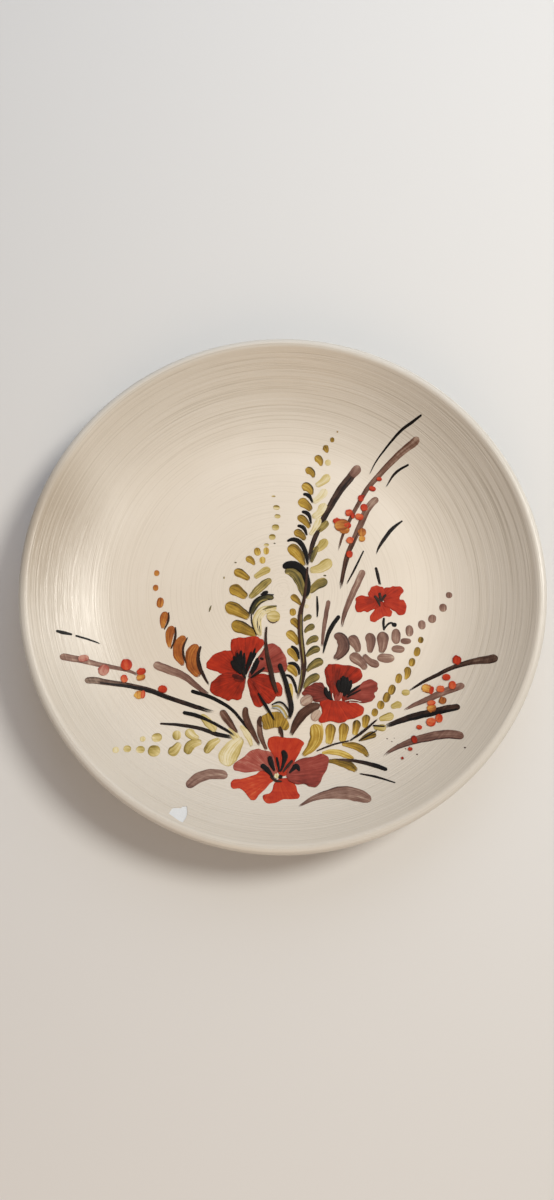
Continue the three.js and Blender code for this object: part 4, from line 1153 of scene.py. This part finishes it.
def mauve_spray():
    laid("mauve_spray_leaves", "mauve_paint", ["leaf_mauve_crescent"], [
        dab(98.5, -0.2, 3.6, 3.6, 0.6, 0.75), dab(95, -7.8, 4.3, 4.8, 0.6, 0.8),
        dab(88.8, -14.5, 4.6, 5, 0.6, 0.8), dab(82.7, -18.2, 4.4, 5.4, 0.6, 0.8),
        dab(75.3, -22, 4.6, 6.6, 0.6, 0.85), dab(67.5, -25.5, 5.4, 9, 0.6, 0.8, 0.16),
        leaf((59, -23), (58.6, -35.8), 7.2, 0.6, 0.75, 0.22, bend=0.08, point=0.4),
        leaf((51.4, -24), (52, -36), 6.2, 0.6, 0.75, 0.22, bend=0.08, point=0.4),
        leaf((39.8, -26.6), (45.4, -35.8), 6.6, 0.65, 0.8, 0.2, bend=0.12, point=0.4),
        stroke([(31.3, -25.4), (35.6, -28), (36.4, -34), (31.6, -40.4)], [3.4, 6.8, 7, 2.8], 0.55, 0.5, 0.3,
               1),
        dab(73.2, -28.2, 6.2, 3.6, 0.75, 0.6), dab(68.7, -33, 7.6, 4.4, 0.8, 0.65),
        dab(61.5, -38.6, 10, 5.4, 0.8, 0.65),
        leaf((57.6, -43), (48.4, -36.8), 4.8, 0.7, 0.6, bend=0.1, point=0.6),
        leaf((40.4, -37.6), (49.8, -45.8), 6.6, 0.68, 0.75, 0.15, point=0.5),
    ])


def olive_spray():
    upper = [(82, -27.3, 3.2, 3.8), (79.8, -34.3, 3.8, 5.6), (76.8, -40.6, 3.8, 5), (69, -50.3, 3.8, 5.8),
             (65, -57, 4.2, 6), (62, -61.5, 4.2, 6), (58.7, -66, 4.2, 5), (55.2, -70.4, 3.7, 4.6)]
    laid("olive_spray_leaves", "ochre_paint", [],
         [dab(*spec, 0.36, 0.7, 0.12, turn=-14) for spec in upper] + [
        leaf((73.8, -43.4), (72.8, -51), 4.2, 0.35, 0.8, 0.12),
        leaf((50.4, -71.8), (49, -79.6), 4.8, 0.3, 0.9, 0.14, bend=0.05, point=0.5),
        leaf((45, -75), (43.4, -84), 4.8, 0.32, 0.95, 0.14, bend=0.03, point=0.6),
        leaf((37.4, -77), (36.4, -88), 6, 0.36, 0.98, 0.14, bend=0.03, point=0.62),
        leaf((29.8, -77.6), (28.8, -89.6), 6.2, 0.38, 0.98, 0.14, bend=0.03, point=0.6),
        leaf((56, -83), (46.6, -86.8), 4.2, 0.36, 0.3, 0.1, 1, bend=-0.06),
    ])
    laid("olive_spray_pale_leaves", "pale_paint", [], [
        dab(73, -58.5, 4.6, 3.6, 0.6, 0.5),
        leaf((70.6, -65), (64.4, -67.2), 4.4, 0.55, 0.5, -0.1, bend=0.0, point=0.6),
        leaf((66, -71.8), (57.6, -74.4), 4.8, 0.55, 0.5, -0.2, bend=0.0, point=0.5),
        leaf((61.6, -79.4), (54.4, -78.8), 4.2, 0.5, 0.45, -0.1, bend=0.0, point=0.6),
        stroke([(24.6, -77.6), (25.4, -83), (23.6, -89)], [0.8, 1.4, 0.7], 0.8, 0.8),
    ])
    laid("olive_spray_ochre_leaves", "ochre_paint",
         ["leaf_ochre_hanging", "leaf_ochre_lower", "leaf_ochre_upper"], [
        stroke([(20, -78.2), (21.8, -83), (20.6, -89), (14, -96.6)], [6.4, 8, 6.8, 2], 0.78, 0.66, -0.14),
        stroke([(36.4, -89.2), (42, -89.6), (47.4, -91.6), (51.6, -96)], [1.6, 3.8, 4.6, 1.8], 0.68, 0.45,
               0.22),
        stroke([(25, -94.4), (31, -93.6), (38, -95), (43.4, -97.4)], [1.4, 3.2, 3.6, 1.6], 0.85, 0.75),
        stroke([(28, -98.8), (35, -99.4), (41, -101.4), (45, -104.4)], [1.6, 4, 5, 2.4], 0.35, 0.45, 0.1),
    ])
    laid("olive_spray_stems", "black_paint", [], [
        stroke([(41, -87), (48, -82), (57, -74)], [0.8, 1.7, 0.8], 0.4, layer=2),
        stroke([(54, -78), (61, -78.4)], [1, 0.8], 0.4, layer=2),
        stroke([(46, -87), (51, -84), (56.6, -80.6)], [0.7, 1, 0.6], 0.35, layer=2),
        stroke([(22, -93.4), (28, -90.8), (33, -89), (41, -87)], [0.7, 1.1, 1, 0.8], 0.55, 0.45, layer=1),
    ])


def pale_spray():
    laid("pale_spray_leaves", "pale_paint", ["leaf_pale_round"], [
        dab(-90, -96.5, 3.3, 3.4, 0.9, 0.8), dab(-84.2, -95.7, 4, 3.8, 0.5, 0.9, -0.3),
        dab(-77.2, -95.8, 4.6, 4, 0.45, 0.85, -0.4), dab(-76.7, -89.7, 3, 3, 0.9),
        dab(-69.8, -96.2, 6.6, 6.4, 0.85, 0.15, -0.3), dab(-69, -88.5, 5.6, 5, 0.55, 0.85, -0.4),
        leaf((-61.8, -97.4), (-56, -90.8), 6, 0.3, 0.85, 0.5, bend=-0.1, point=0.5),
        dab(-58, -86.8, 4.8, 5.4, 0.9, 0.35, -0.3),
        stroke([(-51.2, -97.4), (-50.2, -92.6), (-43.6, -89.8)], [4.4, 6, 2.8], 0.25, 0.85, 0.4),
        leaf((-52.4, -83.2), (-45.4, -88.4), 5.6, 0.8, 0.7, -0.45, bend=-0.1, point=0.5),
        stroke([(-41.2, -96.4), (-38.4, -91.6), (-33.4, -88)], [3.8, 5.2, 2.4], 0.35, 0.85, 0.4),
        stroke([(-28, -103.4), (-28.2, -98.6), (-25.6, -93), (-20.6, -87)], [7, 11.2, 9.8, 3.6], 0.95, 0.9,
               -0.5),
    ])


def middle_leaves():
    laid("ochre_arch", "ochre_paint", ["leaf_ochre_arch"], [
        petal([(-10, -75), (-7, -72.5), (-3, -71.8), (2, -72.5), (5, -76), (5.5, -81), (4, -82), (0, -80.7),
               (-4, -81), (-8, -82), (-9.5, -78)], (-2.5, -77), (-2, -90), 0.5, 0.7, layer=2),
    ])
    laid("red_brown_leaf", "brown_paint", ["leaf_red_brown"], [
        stroke([(23.4, -67), (19, -68.6), (13, -73.4), (9.6, -79), (7.2, -85)], [3.4, 5.2, 5.6, 4.2, 1.6],
               0.55, 0.42, 0.14, 3),
        stroke([(-10.4, -74.4), (-11.2, -77.4), (-10, -80.6)], [1.6, 2.6, 1.4], 0.35, layer=3),
        stroke([(0.5, -80), (1.4, -83), (2.6, -86.4)], [1.8, 2.6, 1], 0.3, layer=3),
    ])
    laid("poppy_left_stem", "brown_paint", ["poppy_left_stem"], [
        stroke([(-8.7, -22), (-9, -30), (-8, -38), (-6, -46), (-4, -54), (-1, -62)],
               [1, 1.6, 2.4, 3, 2.8, 1.6], 0.2, 0.3, layer=4),
    ])
    laid("curved_stem", "black_paint", ["stem_curved"], [
        stroke([(-0.6, -43.6), (1, -48), (3, -53), (5, -60), (7, -70), (6, -76)],
               [2.8, 2.6, 2.6, 2.9, 3, 1.4], 0.2, 0.35, layer=4),
        stroke([(-12.5, -61), (-8, -68), (-2.2, -77)], [0.9, 2, 0.9], 0.15, layer=4),
        stroke([(-4.4, -67.6), (0.6, -66), (4.6, -69.4), (6.6, -75.4)], [0.7, 1, 1, 0.6], 0.2, layer=3),
    ])
    laid("grey_striped_leaf", "olive_paint", [], [
        stroke([(-4, -69), (-0.6, -68.6), (2.6, -71), (5, -75.4)], [2.4, 3.6, 3.4, 1.6], 0.75, 0.9,
               layer=2),
    ])
    laid("grey_striped_lights", "cream_coat", [], [
        stroke([(-4.4, -69.6), (-1, -69.4), (2, -72), (4, -75.6)], [0.5, 1, 1, 0.4], 0.15, 0.3, layer=3),
        stroke([(-3.6, -67.8), (-0.4, -67.4), (3.2, -70), (5.4, -74)], [0.4, 0.8, 0.8, 0.4], 0.3, 0.5,
               layer=3),
    ])


# -------------------------------------------------------------------- berries


BERRY_DRAW = random.Random(23)


def pressed(x, y, width, height, tone, layer):
    """A berry: the brush's tip pressed down, and touched again beside the middle."""
    size = min(width, height)
    presses = [dab(x, y, width, height, tone - 0.15, tone + 0.1, 0.15, layer, BERRY_DRAW.uniform(-25, 25))]
    for again in range(2 if size > 3 else 1):
        angle = BERRY_DRAW.uniform(0, 2 * math.pi)
        away = size * 0.32
        presses.append(dab(x + away * math.cos(angle), y + away * math.sin(angle), size * 0.55, size * 0.5,
                           tone + BERRY_DRAW.uniform(-0.25, 0.15), layer=layer,
                           turn=BERRY_DRAW.uniform(0, 180)))
    return presses


def berries():
    red = [(57, 71, 3.2, 2.4, 0.7), (53, 65, 4.2, 3, 0.65), (46, 58.7, 3.4, 4, 0.6),
           (47.4, 60, 2, 1.6, 0.5), (48, 53, 4.2, 4.2, 0.7), (39, 49.4, 4.4, 4, 0.8),
           (41.4, 47.6, 2.6, 3.4, 0.6), (45.2, 47, 5, 4, 0.95), (31.6, 44, 4.6, 3.4, 0.7),
           (38.2, 41.4, 4.2, 3.6, 0.7), (39.7, 23.5, 3.8, 4.2, 0.65), (39.8, 32.2, 4, 4, 1.0),
           (102, -39.2, 4.8, 4.8, 0.6), (96, -49.3, 4.4, 3.8, 0.75), (99, -54, 3.9, 4.8, 0.98),
           (92.5, -56.3, 4.2, 3.9, 0.95), (87.6, -57, 2.4, 4.6, 0.65), (87.2, -64.4, 4.6, 3, 1.0),
           (91, -73.3, 3.9, 4.8, 0.85), (86.5, -75.5, 5, 4.8, 0.95), (80, -78.5, 3, 2.5, 0.85),
           (77, -85.5, 3.2, 4.4, 0.35), (74.5, -91, 2.5, 2, 0.6), (70, -96.2, 1.5, 1.4, 0.4),
           (-89.3, -47, 6, 6.6, 0.72), (-80.7, -50.6, 5.2, 3.8, 0.7), (-90, -55.3, 3.7, 4.6, 0.9),
           (-67.8, -60.5, 5.2, 4.3, 0.7), (-78.8, -64, 2.6, 4.6, 0.85)]
    orange = [(34.6, 41.6, 8.6, 7.6, 0.6), (36.4, 38.6, 6, 4.6, 0.7), (47, 37.4, 4.6, 5, 0.62),
              (47, 33.4, 3.8, 3.6, 0.9), (85, -56, 6, 4.8, 0.8), (93.5, -63, 4, 4, 0.5),
              (87.2, -67.4, 5.2, 4.4, 0.7), (-80.7, -54, 5, 4, 0.75), (-81, -64.3, 4.8, 4.8, 0.85)]
    faded = [(-113, -45, 5.5, 4, 0.9), (-101.5, -51, 5.5, 6.5, 0.95)]
    laid("berries_faded", "mauve_red_paint", [], [press for berry in faded for press in pressed(*berry, 2)])
    laid("berries_orange", "orange_paint", [], [press for berry in orange for press in pressed(*berry, 2)])
    laid("berries_red", "red_paint", [], [press for berry in red for press in pressed(*berry, 3)])
    laid("stray_marks", "olive_paint", [], [
        stroke([(-41.8, -10), (-42.5, -12), (-43, -14)], [0.5, 1.1, 0.4], 0.4, dry=0.6),
        dab(-28.5, 16.5, 1.4, 0.8, 0.35), dab(-35, 7, 1, 1.4, 0.4), dab(-5.5, 29, 1.2, 0.8, 0.35),
        dab(25, 10, 1.8, 0.9, 0.25),
    ])
    laid("stray_specks", "black_paint", [],
         [dab(x, y, w, w * 0.8, 0.7) for x, y, w in (
             (62, -85.4, 0.8), (64.6, -87, 0.7), (66, -85, 0.6), (68, -88.6, 0.9), (70.6, -87.4, 0.6),
             (72, -91, 0.8), (66.4, -90, 0.6), (74, -89.6, 0.5), (78, -94, 1), (103, -90, 1.1))])


poppy_low()
poppy_left()
poppy_right()
poppy_small()
reeds()
left_grasses()
right_blades()
low_strokes()
tall_fern()
side_fern()
orange_spray()
mauve_spray()
olive_spray()
pale_spray()
middle_leaves()
berries()
bpy.data.objects.remove(STRIP)

# ------------------------------------------------------- floor, light, camera

FLOOR_SIZE = 6.0


def floor():
    deselect()
    bpy.ops.mesh.primitive_plane_add(size=FLOOR_SIZE, location=(0, 0, 0))
    sheet = bpy.context.object
    sheet.name = "Floor"
    shader = Shader("floor")
    sheet.data.materials.append(shader.finish(base_color=linear("d9d8d6"), roughness=0.8))


# Strength of the even light of the room.
ROOM_LIGHT = 0.27


def area_light(name, place, size, power, colour):
    data = bpy.data.lights.new(name, "AREA")
    data.shape = "DISK"
    data.size = size
    data.energy = power
    data.color = linear(colour)[:3]
    lamp = bpy.data.objects.new(name, data)
    bpy.context.scene.collection.objects.link(lamp)
    lamp.location = place
    lamp.rotation_euler = (Vector((0, 0, 0.02)) - Vector(place)).to_track_quat("-Z", "Y").to_euler()


def studio():
    area_light("Key", (0.84, 0.39, 1.18), 0.45, 15.5, "fffbf2")
    area_light("Top fill", (0.1, 0.8, 0.75), 0.9, 3.2, "e4edff")
    area_light("Front fill", (-0.1, -0.85, 0.75), 0.8, 3.4, "ffd9b0")
    world = bpy.data.worlds.new("Studio")
    world.use_nodes = True
    background = world.node_tree.nodes["Background"]
    background.inputs["Color"].default_value = linear("e9edf2")
    background.inputs["Strength"].default_value = ROOM_LIGHT
    bpy.context.scene.world = world


# The camera looks down at the plate from nearly overhead. Distance is from the middle of the
# rim, in millimetres, and the tilt is away from upright, in degrees.
CAMERA_DISTANCE = 512.9
CAMERA_TILT = 12.92
RIM_MIDDLE_HEIGHT = 34.5
CAMERA_AIM = (-2.93, -10.45, RIM_MIDDLE_HEIGHT)
CAMERA_LENS = 27.05
CAMERA_SENSOR = 36


def camera():
    data = bpy.data.cameras.new("Camera")
    data.lens = CAMERA_LENS
    data.sensor_width = CAMERA_SENSOR
    eye = bpy.data.objects.new("Camera", data)
    bpy.context.scene.collection.objects.link(eye)
    tilt = math.radians(CAMERA_TILT)
    back = CAMERA_DISTANCE * math.sin(tilt)
    up = RIM_MIDDLE_HEIGHT + CAMERA_DISTANCE * math.cos(tilt)
    eye.location = (0, -back * MM, up * MM)
    target = Vector(CAMERA_AIM) * MM
    eye.rotation_euler = (target - eye.location).to_track_quat("-Z", "Y").to_euler()
    bpy.context.scene.camera = eye


floor()
studio()
camera()
bpy.context.scene.view_settings.view_transform = "Standard"
